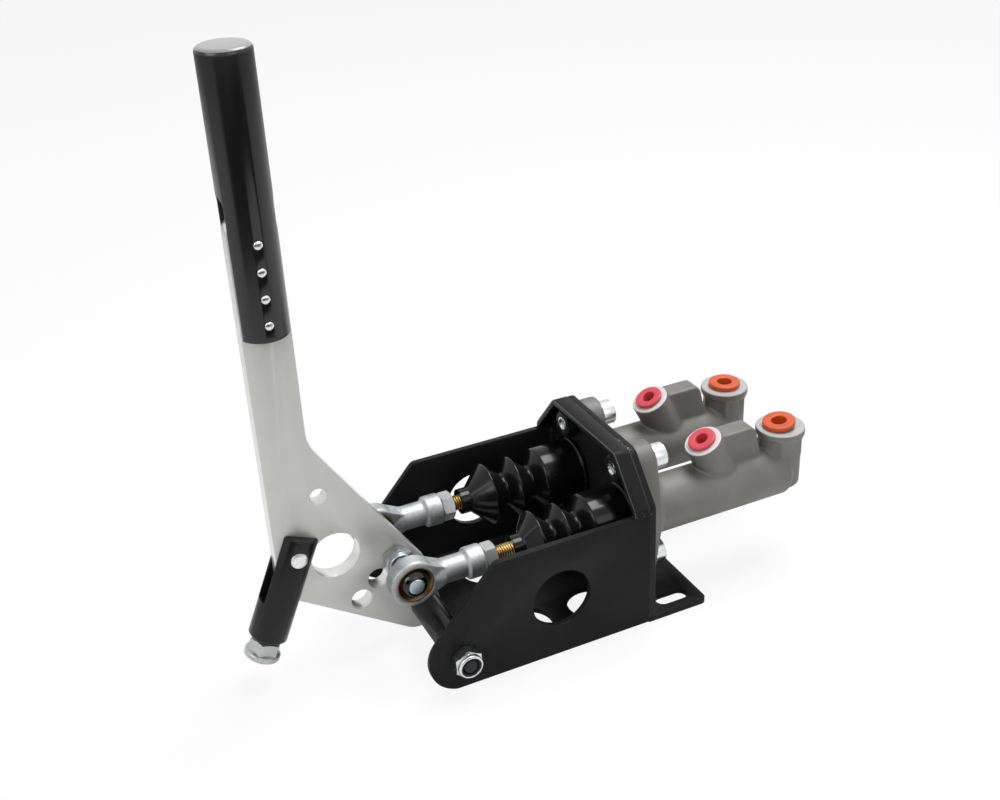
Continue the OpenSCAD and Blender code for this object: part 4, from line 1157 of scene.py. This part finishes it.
low, high = span("grip_rivets")
rivet_r = half("grip_rivets")[0]
rivet_z = np.linspace(low[2] + rivet_r, high[2] - rivet_r, 4)
crown = high[1] - span("grip")[1][1]
rivet = dome_pin(rivet_r, high[1] - crown, crown)
pins = [spun(rivet, [GRIP_MID[0], 0, z], Y, X, 48) for z in rivet_z]
piece("grip_rivets_domed", joined(*pins), rivet_metal, "lever", "rivet_aluminium", "grip_rivets")
PIN_CROWN = 0.6
at = middle("stop_pin")
pin = dome_pin(half("stop_pin")[0], span("stop_pin")[1][1] - PIN_CROWN, PIN_CROWN)
pin = spun(pin, [at[0], 0, at[2]], Y, X, 72)
piece("stop_pin_domed", pin, rivet_metal, "lever", "rivet_aluminium", "stop_pin")

STOP_LEAN = math.radians(23.2)
DOWN = np.array([-math.sin(STOP_LEAN), 0, -math.cos(STOP_LEAN)])
STOP_TOP = np.array([-132.8, 0, 76.7])
SHAFT_AT, SHAFT_L, HEAD_AT = 38.0, 19.9, 57.7
STOP_AF, HEX_H, NECK_R, FOOT_R, FOOT_T = 14, 6.3, 7.0, 8.74, 3.2
head_at = STOP_TOP + HEAD_AT * DOWN
shaft = carried(thread(SHAFT_L), STOP_TOP + SHAFT_AT * DOWN, DOWN, Y)
hexagon = solid(hex_rows(STOP_AF, 0, HEX_H + 0.3, cut_high=False))
hexagon = spun(hexagon, head_at, DOWN, Y, NUT_COLUMNS)
top, end = HEX_H - 0.4, HEX_H + FOOT_T
foot = [[0, top, 0], [NECK_R, top, 0.5], [FOOT_R, HEX_H + 0.5, 0.6]]
foot += [[FOOT_R, end, 0.6], [0, end, 0]]
foot = spun(rows_of(eased(foot)), head_at, DOWN, Y)
screw = joined(shaft, hexagon, foot)
piece("stop_screw_zinc", screw, dull_zinc, "stop_screw", "zinc_steel", "stop_screw")

# %% [markdown]
# ## Hidden pieces
# Inside each cylinder a coil spring pushes the piston back. The wire is a tube round a helix.
# Pistons, seals, washers and circlips keep their solids: they show only when the model is opened
# up, so a finish is enough.

# %% Return springs
WIRE_R, TURNS, PISTON_TRAVEL = 0.8, 8, 14.7


def coil(radius, low, high, per_turn=36, columns=12):
    """Tube round a helix about X: x = rise + w sin a, and distance from the axis = R + w cos a."""
    t = np.linspace(0, 2 * np.pi * TURNS, per_turn * TURNS + 1)[:, None]
    a = np.linspace(0, 2 * np.pi, columns, endpoint=False)[None, :]
    wire = np.full(t.shape, WIRE_R)
    t, wire = (np.concatenate([v[:1], v, v[-1:]]) for v in (t, wire))
    wire[[0, -1]] = 0
    out = radius + wire * np.cos(a)
    along = low + WIRE_R + (high - low - 2 * WIRE_R) * t / t[-1] + wire * np.sin(a)
    points = np.stack([along, out * np.cos(t), out * np.sin(t)], -1)
    return points.reshape(-1, 3), grid_faces(len(t), columns, False)


for side in SIDES:
    node = "return_spring_" + side
    low, high = span(node)
    points, faces = coil(half(node)[2] - WIRE_R, low[0], high[0])
    wire = points + AXIS[side], faces
    name = "return_spring_coil_" + side
    spring = piece(name, wire, spring_steel, "bracket", "spring_steel", node)
    anchor = tuple((AXIS[side] + high[0] * X) * MM)
    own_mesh(spring)

# %% Finishes for the inner solids
INNER = {
    "piston": piston_dye,
    "primary_seal": seal_rubber,
    "secondary_seal": seal_rubber,
    "circlip": spring_steel,
    "retaining_washer": spring_steel,
    "spring_guide": spring_steel,
}
for name, material in INNER.items():
    for side in SIDES:
        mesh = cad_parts[name + "_" + side].data
        mesh.materials.clear()
        mesh.materials.append(material)
print(len(INNER) * 2, "inner solids finished")

# %% [markdown]
# ## Floor and world
# The object stands on a white sweep, as in a catalogue picture. The floor glows to the camera, so
# it is white there and still keeps a faint shadow. The world is white to the camera, to
# reflections and through clear things, and dimmer as a light, so that pale metal doesn't clip.

# %% Floor and world
WHITE = (1, 1, 1, 1)
FLOOR_HALF, FLOOR_Z, FLOOR_GLOW = 4.0, -0.0004, 0.88
WORLD_LIGHT = 0.25
scene = bpy.context.scene
scene.view_settings.view_transform = "Standard"


def staged(name, points, faces, material):
    """Object of the stage, from points in metres; it isn't part of the model."""
    mesh = bpy.data.meshes.new(name)
    mesh.from_pydata(points, [], faces)
    mesh.materials.append(material)
    obj = linked(name, mesh)
    obj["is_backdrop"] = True
    return obj


floor_look = bpy.data.materials.new("pale_floor")
floor_look.use_nodes = True
tree = floor_look.node_tree
shader = tree.nodes["Principled BSDF"]
shader.inputs["Base Color"].default_value = (0.9, 0.9, 0.9, 1)
shader.inputs["Roughness"].default_value = 0.9
rays = tree.nodes.new("ShaderNodeLightPath")
camera_ray = Wire(tree, rays.outputs["Is Camera Ray"])
glow = camera_ray.node("ShaderNodeEmission", {}, {"Color": WHITE, "Strength": 1.0})
lit = Wire(tree, shader.outputs[0])
seen = camera_ray.node("ShaderNodeMixShader", {}, {0: FLOOR_GLOW * camera_ray, 1: lit, 2: glow})
tree.links.new(seen.socket, tree.nodes["Material Output"].inputs["Surface"])
square = ((-1, -1), (1, -1), (1, 1), (-1, 1))
corners = [(FLOOR_HALF * x, FLOOR_HALF * y, FLOOR_Z) for x, y in square]
staged("floor", corners, [(0, 1, 2, 3)], floor_look)

world = bpy.data.worlds.new("studio")
scene.world = world
world.use_nodes = True
sky = world.node_tree
rays = sky.nodes.new("ShaderNodeLightPath")
shown = Wire(sky, rays.outputs["Is Camera Ray"])
for ray in ("Is Glossy Ray", "Is Transmission Ray"):
    shown = shown.maths("MAXIMUM", shown, Wire(sky, rays.outputs[ray]))
strength = WORLD_LIGHT + (1 - WORLD_LIGHT) * shown
back = sky.nodes["Background"]
back.inputs["Color"].default_value = WHITE
sky.links.new(strength.socket, back.inputs["Strength"])
print("world with", len(sky.nodes), "nodes")

# %% [markdown]
# ## Dark card and lamps
# A round black bar in a white room would reflect white all over. A dark card stands beside the
# grip, seen only in reflections, and leaves the light stripes that show its roundness. The light
# comes from a large soft lamp on the left, a weaker one in front and one overhead.

# %% Dark card and lamps
CARD_R, CARD_LOW, CARD_HIGH = 0.3, 0.08, 0.26
CARD_FROM, CARD_TO = math.radians(-149), math.radians(-52)
CARD_LOOK = {"Specular IOR Level": 0.0, "Base Color": (0.01, 0.01, 0.01, 1)}


def arc_wall(centre, radius, start, stop, low, high, columns=40):
    """Upright strip along an arc in metres: x, y = centre + radius (cos a, sin a)."""
    a = np.linspace(start, stop, columns)
    x, y = centre[0] + radius * np.cos(a), centre[1] + radius * np.sin(a)
    foot = np.column_stack([x, y, 0 * a + low])
    points = np.concatenate([foot, foot + [0, 0, high - low]])
    i = np.arange(columns - 1)
    return points, np.column_stack([i, i + 1, i + 1 + columns, i + columns])


def card_black(place):
    """Matt black whose roughness wanders a little."""
    return {"Roughness": 0.9 + 0.1 * place.noise(9)}


points, faces = arc_wall(GRIP_MID * MM, CARD_R, CARD_FROM, CARD_TO, CARD_LOW, CARD_HIGH)
card_look = finish("card_black", CARD_LOOK, card_black)
card = staged("dark_card", points.tolist(), faces.tolist(), card_look)
card.visible_camera = card.visible_diffuse = False
card.visible_transmission = card.visible_shadow = False


def lamp(name, at, aim, size, power):
    """Square soft lamp at a place, facing a point, in metres."""
    data = bpy.data.lights.new(name, "AREA")
    data.shape, data.size, data.energy = "SQUARE", size, power
    obj = linked(name, data)
    obj.location = at
    way = np.array(aim) - np.array(at)
    obj.rotation_euler = Vector(way).to_track_quat("-Z", "Y").to_euler()
    print("lamp", name, "of", power, "W")


AIM = (0.0, 0.0, 0.1)
lamp("key_left", (-1.2, -0.35, 0.9), AIM, 0.8, 6.5)
lamp("fill_front", (0.25, -1.2, 0.9), AIM, 0.8, 2.6)
lamp("top", (0.40, 0.12, 1.15), AIM, 0.6, 13.0)

# %% [markdown]
# ## Camera
# The camera is the photograph's, solved from the bracket's own edges: where it stands, which way it
# looks, and how far it is rolled.

# %% Camera
SENSOR, LENS = 36.0, 47.41
CAMERA_AT = np.array([-254.86, -505.55, 418.44])
azimuth, elevation, roll = (math.radians(v) for v in (-24.25, 28.47, -2.913))
level = math.cos(elevation)
behind = np.array([math.sin(azimuth) * level, -math.cos(azimuth) * level, math.sin(elevation)])
right = np.array([math.cos(azimuth), math.sin(azimuth), 0.0])
above = np.cross(behind, right)
pose = np.eye(4)
pose[:3, 0] = math.cos(roll) * right + math.sin(roll) * above
pose[:3, 1] = math.cos(roll) * above - math.sin(roll) * right
pose[:3, 2] = behind
pose[:3, 3] = CAMERA_AT * MM
camera_data = bpy.data.cameras.new("camera")
camera_data.sensor_width, camera_data.lens = SENSOR, LENS
camera_data.clip_start = 0.01
scene.camera = camera = linked("camera", camera_data)
camera.matrix_world = Matrix(pose.tolist())
print("camera at", [round(v, 3) for v in pose[:3, 3]])

# %% [markdown]
# ## Size
# The visual model's box is printed, in millimetres. The visual model has to stay inside
# the solids' box.

# %% Print the visual box
low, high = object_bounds()
print("visual box in mm:", [round(v / MM, 1) for v in (*low, *high)])
